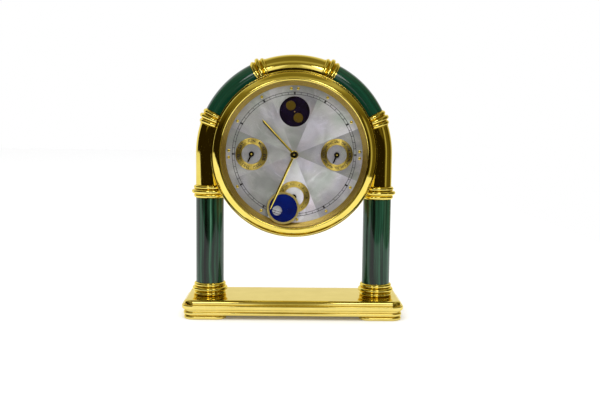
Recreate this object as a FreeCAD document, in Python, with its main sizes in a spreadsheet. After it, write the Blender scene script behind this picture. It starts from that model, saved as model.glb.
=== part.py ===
"""Arched desk clock with calendar and moon phase, an assembly of separate pieces, in millimetres.

The clock stands on Z = 0 with +Z up. X runs to the right of the dial and Y away from the reader, so
the dial faces -Y. The origin lies under the middle of the base. Pieces of the clock head are drawn
in the dial's own frame, x to the right, y up and z towards the reader, and are then set upright.
"""
import FreeCAD, Part
import math
import os
import re

import Sketcher
from FreeCAD import Placement, Rotation, Vector

SIZES = {
    # Base: four moulded tiers on two foot plates.
    "base_overhang": 18.0,
    "base_depth": 51.6,
    "base_corner": 8.5,
    "foot_height": 2.3,
    "foot_reach": 13.4,
    "foot_inset": 1.4,
    "foot_rounding": 0.9,
    "bead_height": 2.5,
    "bead_inset": 1.1,
    "bead_rounding": 1.0,
    "neck_height": 0.3,
    "neck_inset": 2.25,
    "roll_height": 4.8,
    "roll_top_rounding": 0.9,
    "roll_foot_rounding": 1.9,
    "slab_height": 3.7,
    "slab_inset": 1.4,
    "slab_rounding": 3.0,
    # Columns and the tube of the arch.
    "arch_gap": 1.95,
    "column_radius": 10.0,
    "column_length": 61.2,
    "leg_length": 22.6,
    "collar_height": 9.1,
    "collar_top_radius": 11.4,
    "collar_middle_radius": 12.7,
    "collar_foot_radius": 11.8,
    "collar_wire": 1.5,
    "capital_height": 9.0,
    "capital_top_radius": 11.6,
    "capital_middle_radius": 13.0,
    "capital_foot_radius": 11.4,
    "capital_wire": 1.48,
    "stack_sleeve": 0.3,
    "tie_low_angle": 67.5,
    "tie_high_angle": 22.5,
    "tie_low_length": 9.5,
    "tie_high_length": 9.5,
    "tie_wire": 1.35,
    "tie_pitch": 3.1,
    "tie_end_radius": 11.3,
    "tie_middle_radius": 12.4,
    "tie_sleeve": 0.3,
    "tie_room": 0.25,
    # Tube inside the arch and the long screws that pull the columns together.
    "core_radius": 6.0,
    "core_bore": 4.05,
    "core_play": 0.1,
    "screw_radius": 4.0,
    "screw_play": 0.1,
    "screw_reach": 15.0,
    "screw_head_radius": 6.5,
    "screw_head_height": 3.6,
    # Clock head: distances in front of (+) or behind (-) the plane of the columns.
    "dial_face": 9.6,
    "pearl_thickness": 0.6,
    "dial_thickness": 0.8,
    "dial_radius": 50.6,
    "dial_play": 0.2,
    "dial_rim": 2.4,
    "crystal_lift": 5.2,
    "crystal_thickness": 1.4,
    "crystal_step": 1.6,
    "crystal_play": 0.1,
    "crystal_ledge": 1.1,
    "bezel_wall": 5.9,
    "bezel_lip_width": 0.3,
    "bezel_back": 10.4,
    "bezel_lip_thickness": 1.2,
    "bezel_groove": 0.3,
    "bezel_groove_width": 0.5,
    "bezel_front_lip": 2.2,
    "bezel_rounding": 5.2,
    "bezel_inner_rounding": 1.2,
    "ring_shoulder": 0.15,
    "drum_step": 2.4,
    "drum_wall": 1.8,
    "drum_shoulder": 4.6,
    "drum_seat": 1.6,
    "flange_step": 3.8,
    "drum_end": 16.4,
    "boss_radius": 3.0,
    "boss_inset": 2.8,
    "back_thickness": 1.6,
    "back_screw_radius": 1.2,
    "back_screw_length": 8.0,
    "back_screw_head": 2.4,
    "back_screw_head_height": 1.2,
    "stud_radius": 1.5,
    "stud_collar": 3.0,
    "stud_reach": 3.4,
    "stud_head": 1.8,
    "fit_play": 0.05,
    # Dial furniture.
    "moon_margin": 1.8,
    "subdial_outer": 11.3,
    "subdial_inner": 7.0,
    "subdial_thickness": 0.5,
    "subdial_chamfer": 0.25,
    "window_radius": 10.65,
    "dot_inset": 2.2,
    "dot_radius": 1.05,
    "dot_height": 0.4,
    "dot_pair": 4.8,
    "pearl_joint": 0.03,
    # Hands: heights above the dial's face.
    "short_hand_length": 32.7,
    "long_hand_gap": 6.0,
    "hand_width": 1.9,
    "hand_edge": 0.12,
    "hand_height": 0.45,
    "hand_hub": 2.9,
    "hand_hub_height": 0.55,
    "short_hand_lift": 2.9,
    "long_hand_lift": 3.8,
    "cap_radius": 1.8,
    "cap_tip": 0.35,
    "cap_height": 0.7,
    "small_length": 6.5,
    "small_width": 1.1,
    "small_edge": 0.1,
    "small_height": 0.3,
    "small_lift": 0.65,
    "small_hub": 1.9,
    "small_hub_height": 0.6,
    "small_arbor": 0.6,
    "hand_play": 0.02,
    # Moon disc behind the dial, and its cover, which lies loose at the foot of the dial.
    "moon_radius": 12.4,
    "moon_thickness": 0.6,
    "moon_gap": 0.3,
    "moon_arbor": 0.9,
    "moon_spot_radius": 3.4,
    "moon_spot_offset": 5.0,
    "moon_spot_recess": 0.15,
    "moon_spot_proud": 0.05,
    "cover_overrun": 1.78,
    "cover_lift": 1.75,
    "cover_radius": 11.45,
    "cover_sight": 9.85,
    "cover_thickness": 0.9,
    "cover_disc_thickness": 0.5,
    "cover_hole_radius": 3.45,
    "cover_hole_x": -4.2,
    "cover_hole_y": -1.8,
    # Movement.
    "plate_gap": 1.8,
    "plate_thickness": 1.2,
    "plate_play": 0.2,
    "plate_rim": 2.0,
    "housing_margin": 6.7,
    "housing_wall": 1.2,
    "housing_depth": 6.2,
    "wheel_thickness": 1.0,
    "wheel_gap": 0.3,
    "pivot_radius": 0.75,
    "pivot_depth": 0.8,
    "motion_module": 0.5,
    "star_radius": 7.5,
    "pipe_radius": 1.6,
    "pipe_wall": 0.53,
    "centre_arbor": 1.0,
    "setting_angle": 45.0,
    "setting_stem": 1.2,
    "knob_radius": 6.0,
    "knob_thickness": 4.0,
    "knob_gap": 0.6,
    "knob_flute": 0.8,
    "battery_radius": 7.25,
    "battery_length": 49.0,
    "battery_nub": 2.75,
    "battery_nub_length": 1.4,
    "trough_gap": 1.25,
    "battery_play": 0.3,
    "trough_wall": 1.0,
    "hatch_margin": 1.4,
    "hatch_ledge": 1.3,
    "hatch_lip": 0.8,
    "hatch_play": 0.3,
    "button_radius": 1.6,
    "button_flange": 2.4,
    "button_flange_thickness": 0.8,
    "button_stem": 0.9,
    "button_travel": 1.0,
    "button_proud": 1.6,
    "button_circle": 32.0,
    "coil_radius": 1.7,
    "coil_length": 14.0,
    "coil_cheek": 2.1,
    "coil_cheek_thickness": 1.0,
    "coil_x": -15.0,
    "coil_y": 15.0,
    "board_length": 22.0,
    "board_width": 14.0,
    "board_thickness": 0.8,
    "board_x": -24.0,
    "board_y": -20.0,
}

# Tooth numbers of the motion work: minute hand to hour hand is 12 to 1.
MINUTE_PINION_TEETH = 12
SETTING_WHEEL_TEETH = 36
SETTING_PINION_TEETH = 10
HOUR_WHEEL_TEETH = 40
DAY_TEETH = 7
DATE_TEETH = 31
MONTH_TEETH = 12
MOON_TEETH = 59

# Outer radii of the rings of a tie, in order along the tube.
TIE_RADII = ("tie_end_radius", "tie_middle_radius", "tie_end_radius")

# Where each hand points, in degrees clockwise from twelve.
HOUR_POINTS = 316.8
MINUTE_POINTS = 203.5
DAY_POINTS = 204.0
MONTH_POINTS = 204.0
DATE_POINTS = 214.0
MOON_POINTS = -32.0
COVER_POINTS = 191.15
COVER_TILT = 1.2

SECTORS = 8
UPRIGHT = Rotation(Vector(1, 0, 0), 90)
ALONG_X = Rotation(Vector(0, 1, 0), 90)
Z_AXIS = Vector(0, 0, 1)

doc = FreeCAD.newDocument("desk_clock")
sheet = doc.addObject("Spreadsheet::Sheet", "Sizes")
for row, (alias, number) in enumerate(SIZES.items(), start=1):
    sheet.set(f"A{row}", alias)
    sheet.set(f"B{row}", str(number))
    sheet.setAlias(f"B{row}", alias)
doc.recompute()

# Formulas that more than one piece uses.
DRUM_RADIUS = "(dial_radius - drum_step)"
DRUM_BORE = f"({DRUM_RADIUS} - drum_wall)"
ARCH_RADIUS = f"({DRUM_RADIUS} + arch_gap + column_radius)"
BASE_HALF = f"({ARCH_RADIUS} + base_overhang)"
BASE_TOP = "(foot_height + bead_height + neck_height + roll_height + slab_height)"
COLUMN_FOOT = f"({BASE_TOP} + collar_height)"
CAPITAL_FOOT = f"({COLUMN_FOOT} + column_length)"
LEG_FOOT = f"({CAPITAL_FOOT} + capital_height)"
ARCH_CENTRE = f"({LEG_FOOT} + leg_length)"
LOW_TURN = f"(tie_low_length / {ARCH_RADIUS} * 90 / pi)"
HIGH_TURN = f"(tie_high_length / {ARCH_RADIUS} * 90 / pi)"
SCREW_BORE = "(screw_radius + screw_play)"
DIAL_OPENING = "(dial_radius - dial_rim)"
CRYSTAL_RADIUS = "(dial_radius + crystal_step)"
BEZEL_INNER = f"({CRYSTAL_RADIUS} - crystal_ledge)"
BEZEL_BEAD = f"({CRYSTAL_RADIUS} + bezel_wall)"
BEZEL_LIP = f"({BEZEL_BEAD} + bezel_lip_width)"
DRUM_FLANGE = "(dial_radius + flange_step)"
BOSS_CIRCLE = f"({DRUM_BORE} - boss_inset)"
PLATE_RADIUS = f"({DRUM_BORE} - plate_play)"
HOUSING_RADIUS = f"({PLATE_RADIUS} - housing_margin)"
SUBDIAL_OFFSET = f"({PLATE_RADIUS} - plate_rim - moon_margin - moon_radius)"
DOT_CIRCLE = f"({DIAL_OPENING} - dot_inset)"
LONG_HAND = f"({DIAL_OPENING} - long_hand_gap)"
COVER_DISTANCE = f"({DIAL_OPENING} + cover_overrun - cover_radius)"
CRYSTAL_BACK = "(dial_face + crystal_lift)"
CRYSTAL_FRONT = f"({CRYSTAL_BACK} + crystal_thickness)"
DIAL_BACK = "(dial_face - pearl_thickness - dial_thickness)"
PLATE_FRONT = f"({DIAL_BACK} - plate_gap)"
PLATE_BACK = f"({PLATE_FRONT} - plate_thickness)"
HOUSING_BACK = f"({PLATE_BACK} - housing_depth)"
HOUSING_FLOOR = f"({HOUSING_BACK} + housing_wall)"
FRONT_LAYER = f"({PLATE_BACK} - wheel_gap - wheel_thickness)"
REAR_LAYER = f"({FRONT_LAYER} - wheel_gap - wheel_thickness)"
MINUTE_PITCH = f"(motion_module * {MINUTE_PINION_TEETH} / 2)"
SETTING_PITCH = f"(motion_module * {SETTING_WHEEL_TEETH} / 2)"
GEAR_CENTRES = f"({MINUTE_PITCH} + {SETTING_PITCH})"
HOUR_MODULE = f"(2 * {GEAR_CENTRES} / {SETTING_PINION_TEETH + HOUR_WHEEL_TEETH})"
SETTING_X = f"({GEAR_CENTRES} * cos(setting_angle))"
SETTING_Y = f"({GEAR_CENTRES} * sin(setting_angle))"
BACK_FACE = "(-drum_end - back_thickness)"
TROUGH_HALF_LENGTH = "((battery_length + battery_nub_length) / 2 + battery_play)"
TROUGH_HALF_WIDTH = "(battery_radius + battery_play)"
TROUGH_CORNER = f"({TROUGH_HALF_LENGTH} + trough_wall)"
TROUGH_EDGE = f"sqrt(({DRUM_BORE} - trough_gap)^2 - {TROUGH_CORNER}^2)"
BATTERY_DROP = f"({TROUGH_EDGE} - {TROUGH_HALF_WIDTH} - trough_wall)"
BATTERY_Z = f"({HOUSING_BACK} - battery_play - battery_radius)"
HATCH_HALF_LENGTH = "((battery_length + battery_nub_length) / 2 + hatch_margin)"
HATCH_HALF_WIDTH = "(battery_radius + hatch_margin)"


def formula(words):
    """A formula in the names of sizes, as the document reads it."""
    return re.sub(r"[a-z][a-z_0-9]*", lambda word: cell(word.group()), words)


def cell(word):
    return "Sizes." + word if word in SIZES else word


def bind(thing, prop, words):
    thing.setExpression(prop, formula(words))


def place(thing, x="0", y="0", z="0", turn=None):
    """Turns a piece, and binds its position to formulas."""
    thing.Placement = Placement(Vector(), turn or Rotation())
    for axis, words in zip("xyz", (x, y, z)):
        if words != "0":
            bind(thing, ".Placement.Base." + axis, words)
    return thing


def upright(thing):
    """Sets a piece of the clock head, drawn in the dial's frame, upright on the arch's centre."""
    return place(thing, z=ARCH_CENTRE, turn=UPRIGHT)


def cylinder(label, radius, height, x="0", y="0", z="0", turn=None):
    shape = doc.addObject("Part::Cylinder", label)
    bind(shape, "Radius", radius)
    bind(shape, "Height", height)
    return place(shape, x, y, z, turn)


def cone(label, low_radius, high_radius, height, x="0", y="0", z="0"):
    shape = doc.addObject("Part::Cone", label)
    bind(shape, "Radius1", low_radius)
    bind(shape, "Radius2", high_radius)
    bind(shape, "Height", height)
    return place(shape, x, y, z)


def box(label, length, width, height, x="0", y="0", z="0"):
    shape = doc.addObject("Part::Box", label)
    bind(shape, "Length", length)
    bind(shape, "Width", width)
    bind(shape, "Height", height)
    return place(shape, x, y, z)


def torus(label, ring_radius, wire_radius, x="0", y="0", z="0", turn=None):
    shape = doc.addObject("Part::Torus", label)
    bind(shape, "Radius1", ring_radius)
    bind(shape, "Radius2", wire_radius)
    return place(shape, x, y, z, turn)


def bend(label, wire_radius, start, sweep):
    """A stretch of the arch's tube, in the dial's frame, anticlockwise from three o'clock."""
    shape = torus(label, ARCH_RADIUS, wire_radius, turn=Rotation(Z_AXIS, 1))
    bind(shape, "Angle3", sweep)
    bind(shape, ".Placement.Rotation.Angle", start)
    return shape


def fuse(label, shapes):
    result = doc.addObject("Part::MultiFuse", label)
    result.Shapes = shapes
    return result


def cut(label, base, tool):
    result = doc.addObject("Part::Cut", label)
    result.Base = base
    result.Tool = tool
    return result


def group(label, shapes):
    result = doc.addObject("Part::Compound", label)
    result.Links = shapes
    return result


def plane_of(body, role):
    return next(part for part in body.Origin.OriginFeatures if part.Role == role)


def polygon(body, name, role, corners, lift="0"):
    """A closed sketch on one of the body's own planes, its corners bound to pairs of formulas."""
    sketch = body.newObject("Sketcher::SketchObject", name)
    sketch.AttachmentSupport = [(plane_of(body, role), "")]
    sketch.MapMode = "FlatFace"
    if lift != "0":
        bind(sketch, ".AttachmentOffset.Base.z", lift)
    count = len(corners)
    turn = 2 * math.pi / count
    spots = [Vector(math.cos(i * turn), math.sin(i * turn), 0) for i in range(count)]
    for i in range(count):
        sketch.addGeometry(Part.LineSegment(spots[i], spots[(i + 1) % count]), False)
    for i in range(count):
        sketch.addConstraint(Sketcher.Constraint("Coincident", i, 2, (i + 1) % count, 1))
    for i, corner in enumerate(corners):
        for direction, words in zip(("DistanceX", "DistanceY"), corner):
            number = sketch.addConstraint(Sketcher.Constraint(direction, -1, 1, i, 1, 1.0))
            bind(sketch, f"Constraints[{number}]", words)
    return sketch


def new_body(label):
    return doc.addObject("PartDesign::Body", label)


def pad(body, sketch, length, name):
    feature = body.newObject("PartDesign::Pad", name)
    feature.Profile = sketch
    bind(feature, "Length", length)
    return feature


def turned(label, profile):
    """A piece turned about the dial frame's z axis from (radius, z) corners."""
    body = new_body(label)
    sketch = polygon(body, label + "_profile", "XZ_Plane", profile)
    spin = body.newObject("PartDesign::Revolution", label + "_turning")
    spin.Profile = sketch
    spin.ReferenceAxis = (sketch, ["V_Axis"])
    spin.Angle = 360
    return body


def round_off(body, radius, wanted, name):
    """Rounds the edges that a test picks out of the body's present shape."""
    doc.recompute()
    base = body.Tip
    edges = [f"Edge{i}" for i, edge in enumerate(base.Shape.Edges, start=1) if wanted(edge)]
    feature = body.newObject("PartDesign::Fillet", name)
    feature.Base = (base, edges)
    bind(feature, "Radius", radius)
    return feature


def close(first, second):
    return abs(first - second) < 1e-4


def is_upright(edge):
    ends = edge.Vertexes
    return len(ends) == 2 and close(ends[0].X, ends[1].X) and close(ends[0].Y, ends[1].Y)


def lies_at(edge, height):
    return close(edge.BoundBox.ZMin, height) and close(edge.BoundBox.ZMax, height)


def slab_corners(half_length, half_depth, x="0"):
    """A rectangle about a point on the X axis."""
    return [
        (f"{x} - ({half_length})", f"-({half_depth})"),
        (f"{x} + {half_length}", f"-({half_depth})"),
        (f"{x} + {half_length}", f"{half_depth}"),
        (f"{x} - ({half_length})", f"{half_depth}"),
    ]


def size(name):
    return SIZES[name]


# ---------------------------------------------------------------- base
def base_tier(name, inset, bottom, height, rounding=None, levels=()):
    """One tier of the base: a plate with rounded corners in plan and rounded edges at some levels."""
    body = new_body(f"{name}_tier")
    corners = slab_corners(f"{BASE_HALF} - {inset}", f"base_depth / 2 - {inset}")
    sketch = polygon(body, f"{name}_plan", "XY_Plane", corners, bottom)
    pad(body, sketch, height, f"{name}_pad")
    round_off(body, f"base_corner - {inset}", is_upright, f"{name}_corners")
    if rounding:
        round_off(body, rounding, lambda edge: lies_at_one(edge, levels), f"{name}_round")
    return body


def lies_at_one(edge, levels):
    return any(lies_at(edge, level) for level in levels)


HEAD_BORE = "(screw_head_radius + screw_play)"
HEAD_SPACE = "(screw_head_height + screw_play)"


def make_base():
    """Neck, bead, roll and top slab; the screw heads sit in counterbores below."""
    roll_bottom = "(foot_height + bead_height + neck_height)"
    roll_low = size("foot_height") + size("bead_height") + size("neck_height")
    roll_high = roll_low + size("roll_height")
    bead_levels = (size("foot_height"), size("foot_height") + size("bead_height"))
    slab_levels = (roll_high + size("slab_height"),)
    roll = base_tier("roll", "0", roll_bottom, "roll_height", "roll_top_rounding", (roll_high,))
    round_off(roll, "roll_foot_rounding", lambda edge: lies_at(edge, roll_low), "roll_foot_round")
    tiers = [
        base_tier("neck", "neck_inset", "foot_height", "bead_height + neck_height + roll_height / 2"),
        base_tier("bead", "bead_inset", "foot_height", "bead_height", "bead_rounding", bead_levels),
        roll,
        base_tier("slab", "slab_inset", f"{roll_bottom} + roll_height / 2", "roll_height / 2 + slab_height",
                  "slab_rounding", slab_levels),
    ]
    bores = []
    for side, sign in (("left", "-"), ("right", "")):
        x = f"{sign}{ARCH_RADIUS}"
        bores.append(cylinder(f"base_bore_{side}", SCREW_BORE, f"2 * {BASE_TOP}", x))
        bores.append(cylinder(f"base_counterbore_{side}", HEAD_BORE, f"foot_height + {HEAD_SPACE}", x))
    return cut("base_plate", fuse("base_tiers", tiers), fuse("base_bores", bores))


def make_foot(side, sign):
    """A foot plate under one end of the base, bored for the screw head above it."""
    body = new_body(f"foot_blank_{side}")
    middle = f"{sign}({ARCH_RADIUS} + (base_overhang - foot_inset - foot_reach) / 2)"
    half_length = "(base_overhang - foot_inset + foot_reach) / 2"
    corners = slab_corners(half_length, "base_depth / 2 - foot_inset", middle)
    sketch = polygon(body, f"foot_plan_{side}", "XY_Plane", corners)
    pad(body, sketch, "foot_height", f"foot_pad_{side}")
    round_off(body, "base_corner - foot_inset", is_upright, f"foot_corners_{side}")
    levels = (0, size("foot_height"))
    round_off(body, "foot_rounding", lambda edge: lies_at_one(edge, levels), f"foot_round_{side}")
    bore = cylinder(f"foot_bore_{side}", HEAD_BORE, "3 * foot_height", f"{sign}{ARCH_RADIUS}", "0",
                    "-foot_height")
    return cut(f"foot_{side}", body, bore)


# ---------------------------------------------------------------- columns and arch
def ring_stack(label, x, bottom, height, wire, radii):
    """Rings of half-round wire on a sleeve, bored for the long screw; radii run from the top."""
    core = cylinder(f"{label}_sleeve", "column_radius + stack_sleeve", height, x, "0", bottom)
    rings = [core]
    last = len(radii) - 1
    for i, radius in enumerate(radii):
        level = f"{bottom} + {height} - {wire} - ({height} - 2 * {wire}) * {i} / {last}"
        rings.append(torus(f"{label}_ring_{i + 1}", f"{radius} - {wire}", wire, x, "0", level))
    bore = cylinder(f"{label}_bore", SCREW_BORE, f"3 * {height}", x, "0", f"{bottom} - {height}")
    return cut(label, fuse(f"{label}_rings", rings), bore)


def make_column(side, sign):
    """Foot collar, stone column and capital of one side."""
    x = f"{sign}{ARCH_RADIUS}"
    collar_radii = ["collar_top_radius", "collar_middle_radius", "collar_foot_radius"]
    capital_radii = ["capital_top_radius", "capital_middle_radius", "capital_foot_radius"]
    ring_stack(f"base_collar_{side}", x, BASE_TOP, "collar_height", "collar_wire", collar_radii)
    stone = cylinder(f"column_{side}_stone", "column_radius", "column_length", x, "0", COLUMN_FOOT)
    bore = cylinder(f"column_{side}_bore", SCREW_BORE, "3 * column_length", x, "0", "0")
    cut(f"column_{side}", stone, bore)
    ring_stack(f"capital_{side}", x, CAPITAL_FOOT, "capital_height", "capital_wire", capital_radii)


def upright_bend(label, radius, start, sweep):
    """A stretch of tube as a world shape: drawn in the dial's frame and stood up in a group."""
    return upright(group(f"{label}_upright", [bend(label, radius, start, sweep)]))


def make_core():
    """The brass tube that runs from leg to leg inside the arch."""
    walls = []
    for name, radius in (("outer", "core_radius"), ("bore", "core_bore")):
        pieces = [upright_bend(f"core_{name}_bend", radius, "0", "180")]
        for side, sign in (("left", "-"), ("right", "")):
            x = f"{sign}{ARCH_RADIUS}"
            height = "leg_length"
            pieces.append(cylinder(f"core_{name}_{side}", radius, height, x, "0", LEG_FOOT))
        walls.append(fuse(f"core_{name}", pieces))
    return cut("arch_core", walls[0], walls[1])


def core_hole(label):
    """The room for the core in what slides over it."""
    pieces = [upright_bend(f"{label}_hole_bend", "core_radius + core_play", "0", "180")]
    for side, sign in (("left", "-"), ("right", "")):
        x = f"{sign}{ARCH_RADIUS}"
        pieces.append(cylinder(f"{label}_hole_{side}", "core_radius + core_play", ARCH_CENTRE, x))
    return fuse(f"{label}_hole", pieces)


def stud_hole(label, angle):
    """The threaded hole for a mounting stud in the tube's inner wall."""
    hole = cylinder(f"{label}_stud_hole", "stud_radius + fit_play", ARCH_RADIUS, turn=ALONG_X)
    spoke = group(f"{label}_stud_spoke", [hole])
    spoke.Placement = Placement(Vector(0, 0, 0), Rotation(Vector(0, 1, 0), -angle))
    bind(spoke, ".Placement.Base.z", ARCH_CENTRE)
    return spoke


def make_leg(side, sign, stud_angle):
    """The gilt leg: a straight tube that bends into the arch as far as the lower tie."""
    x = f"{sign}{ARCH_RADIUS}"
    tube = cylinder(f"leg_{side}_tube", "column_radius", "leg_length", x, "0", LEG_FOOT)
    sweep = f"(90 - tie_low_angle - {LOW_TURN})"
    start = "0" if sign == "" else f"180 - {sweep}"
    curve = upright_bend(f"leg_{side}_bend", "column_radius", start, sweep)
    bored = cut(f"leg_{side}_bored", fuse(f"leg_{side}_blank", [tube, curve]), core_hole(f"leg_{side}"))
    return cut(f"arch_leg_{side}", bored, stud_hole(f"leg_{side}", stud_angle))


def make_arch():
    """Stone quarter bends and the gilt crown, between radial faces at the ties."""
    stone_sweep = f"(tie_low_angle - tie_high_angle - {LOW_TURN} - {HIGH_TURN})"
    right_start = f"90 - tie_low_angle + {LOW_TURN}"
    left_start = f"90 + tie_high_angle + {HIGH_TURN}"
    for side, start in (("right", right_start), ("left", left_start)):
        stone = upright_bend(f"stone_{side}", "column_radius", start, stone_sweep)
        cut(f"arch_stone_{side}", stone, core_hole(f"stone_{side}"))
    crown_start = f"90 - tie_high_angle + {HIGH_TURN}"
    crown = upright_bend("crown", "column_radius", crown_start, f"2 * (tie_high_angle - {HIGH_TURN})")
    bored = cut("crown_bored", crown, core_hole("crown"))
    cut("arch_crown", bored, stud_hole("crown", 90))


def head_room():
    """The room that the bezel and the drum, with its flared flange, leave for a tie."""
    front = "bezel_back - dial_play"
    seat = f"{DIAL_BACK} - drum_seat"
    profile = [
        ("0", "-drum_end"),
        (f"{DRUM_RADIUS} + tie_room", "-drum_end"),
        (f"{DRUM_RADIUS} + tie_room", "drum_shoulder"),
        (f"{DRUM_RADIUS} + tie_room + {seat} - drum_shoulder", seat),
        (f"{DRUM_FLANGE} + tie_room", front),
        (f"{BEZEL_LIP} + dial_play", front),
        (f"{BEZEL_LIP} + dial_play", f"{front} + column_radius"),
        ("0", f"{front} + column_radius"),
    ]
    return upright(group("head_room_upright", [turned("head_room", profile)]))


def make_tie(label, angle, side, turn, room):
    """Three rings of wire wound round the tube over a joint, set back where the clock head passes.

    angle and side place the tie from the top; turn is half its length as an angle.
    """
    start = f"90 - ({side} * {angle}) - {turn}"
    pieces = [bend(f"{label}_sleeve", "column_radius + tie_sleeve", start, f"2 * {turn}")]
    for i, radius in enumerate(TIE_RADII):
        shift = f"({i} - {(len(TIE_RADII) - 1) / 2}) * tie_pitch / ({ARCH_RADIUS}) * 180 / pi"
        around = f"(90 - ({side} * {angle}) + {shift})"
        ring = torus(f"{label}_ring_{i + 1}", f"{radius} - tie_wire", "tie_wire", ARCH_RADIUS, turn=UPRIGHT)
        spoke = group(f"{label}_spoke_{i + 1}", [ring])
        spoke.Placement = Placement(Vector(), Rotation(Z_AXIS, 1))
        bind(spoke, ".Placement.Rotation.Angle", around)
        pieces.append(spoke)
    blank = upright(group(f"{label}_upright", [fuse(f"{label}_blank", pieces)]))
    bored = cut(f"{label}_bored", blank, core_hole(label))
    return cut(label, bored, room)


def make_ties():
    room = head_room()
    for level, angle, turn in (("lower", "tie_low_angle", LOW_TURN), ("upper", "tie_high_angle", HIGH_TURN)):
        make_tie(f"tie_{level}_left", angle, "-1", turn, room)
        make_tie(f"tie_{level}_right", angle, "1", turn, room)


def make_column_screws():
    """Long screws from the base's counterbores up into the ends of the core."""
    screws = []
    shank_foot = f"(foot_height + {HEAD_SPACE})"
    for side, sign in (("left", "-"), ("right", "")):
        x = f"{sign}{ARCH_RADIUS}"
        shank = f"{LEG_FOOT} + screw_reach - {shank_foot}"
        head = cylinder(f"screw_head_{side}", "screw_head_radius", "screw_head_height", x, "0",
                        f"{shank_foot} - screw_head_height")
        stem = cylinder(f"screw_stem_{side}", "screw_radius", shank, x, "0", shank_foot)
        screws.append(fuse(f"column_screw_{side}", [head, stem]))
    return group("column_screws", screws)


# ---------------------------------------------------------------- case
# The studs stand out from the drum at three, twelve and nine o'clock.
STUD_ANGLES = (0, 90, 180)

# Degrees clockwise from twelve as the reader sees the dial: screw bosses, and calendar correctors.
BOSS_ANGLES = (45, 135, 225, 315)
BUTTON_ANGLES = {"day": -70, "date": -38, "moon": 38, "month": 70}


def spot(circle, clockwise):
    """A point on a circle about the dial's centre."""
    return f"{circle} * sin({clockwise})", f"{circle} * cos({clockwise})"


def make_drum():
    """The cup that holds the works: a barrel with a flared flange and four screw bosses."""
    profile = [
        (DRUM_RADIUS, "-drum_end"),
        (DRUM_RADIUS, "drum_shoulder"),
        (f"{DRUM_RADIUS} + {DIAL_BACK} - drum_seat - drum_shoulder", f"{DIAL_BACK} - drum_seat"),
        (DRUM_FLANGE, "bezel_back"),
        ("dial_radius + dial_play", "bezel_back"),
        ("dial_radius + dial_play", DIAL_BACK),
        (DRUM_BORE, DIAL_BACK),
        (DRUM_BORE, "-drum_end"),
    ]
    pieces = [turned("drum_shell", profile)]
    holes = []
    height = f"{PLATE_BACK} + drum_end"
    depth = "back_screw_length + fit_play"
    thread = "back_screw_radius + fit_play"
    for i, angle in enumerate(BOSS_ANGLES, start=1):
        x, y = spot(BOSS_CIRCLE, angle)
        pieces.append(cylinder(f"drum_boss_{i}", "boss_radius", height, x, y, "-drum_end"))
        holes.append(cylinder(f"drum_thread_{i}", thread, depth, x, y, "-drum_end"))
    for i, angle in enumerate(STUD_ANGLES, start=1):
        hole = cylinder(f"drum_stud_{i}", "stud_radius + fit_play", ARCH_RADIUS, turn=ALONG_X)
        spoke = group(f"drum_stud_spoke_{i}", [hole])
        spoke.Placement = Placement(Vector(), Rotation(Z_AXIS, angle))
        holes.append(spoke)
    return upright(cut("case_drum", fuse("drum_blank", pieces), fuse("drum_holes", holes)))


def make_bezel():
    """The polished quarter-round ring that holds the crystal, on a thin lip with a groove between."""
    front = f"({CRYSTAL_FRONT} + bezel_front_lip)"
    lip_front = "(bezel_back + bezel_lip_thickness)"
    profile = [
        (f"{CRYSTAL_RADIUS} + crystal_play", "bezel_back"),
        (BEZEL_LIP, "bezel_back"),
        (BEZEL_LIP, lip_front),
        (f"{BEZEL_BEAD} - bezel_groove", lip_front),
        (f"{BEZEL_BEAD} - bezel_groove", f"{lip_front} + bezel_groove_width"),
        (BEZEL_BEAD, f"{lip_front} + bezel_groove_width"),
        (BEZEL_BEAD, front),
        (BEZEL_INNER, front),
        (BEZEL_INNER, CRYSTAL_FRONT),
        (f"{CRYSTAL_RADIUS} + crystal_play", CRYSTAL_FRONT),
    ]
    body = turned("bezel", profile)
    heights = ("dial_face", "crystal_lift", "crystal_thickness", "bezel_front_lip")
    front_level = sum(size(name) for name in heights)
    inner_radius = size("dial_radius") + size("crystal_step") - size("crystal_ledge")

    def in_front(edge):
        return lies_at(edge, front_level) and not close(edge.BoundBox.XMax, inner_radius)

    round_off(body, "bezel_rounding", in_front, "bezel_round")

    def at_crystal(edge):
        return lies_at(edge, front_level) and close(edge.BoundBox.XMax, inner_radius)

    round_off(body, "bezel_inner_rounding", at_crystal, "bezel_inner_round")
    lip_level = size("bezel_back") + size("bezel_lip_thickness")
    steps = ("dial_radius", "crystal_step", "bezel_wall", "bezel_lip_width")
    lip_radius = sum(size(name) for name in steps)

    def on_lip(edge):
        return lies_at(edge, lip_level) and close(edge.BoundBox.XMax, lip_radius)

    round_off(body, "bezel_groove", on_lip, "bezel_lip_round")
    return upright(body)


def make_inner_ring():
    """The satin reflector ring between crystal and dial, sloping in to the dial's edge."""
    slope = f"({BEZEL_INNER} - {DIAL_OPENING})"
    profile = [
        ("dial_radius", "dial_face"),
        (DIAL_OPENING, "dial_face"),
        (BEZEL_INNER, f"dial_face + {slope}"),
        (BEZEL_INNER, CRYSTAL_BACK),
        (CRYSTAL_RADIUS, CRYSTAL_BACK),
        (CRYSTAL_RADIUS, "bezel_back + ring_shoulder"),
        ("dial_radius", "bezel_back + ring_shoulder"),
    ]
    return upright(turned("inner_ring", profile))


def make_crystal():
    disc = cylinder("crystal_disc", CRYSTAL_RADIUS, "crystal_thickness", z=CRYSTAL_BACK)
    return upright(group("crystal", [disc]))


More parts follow.
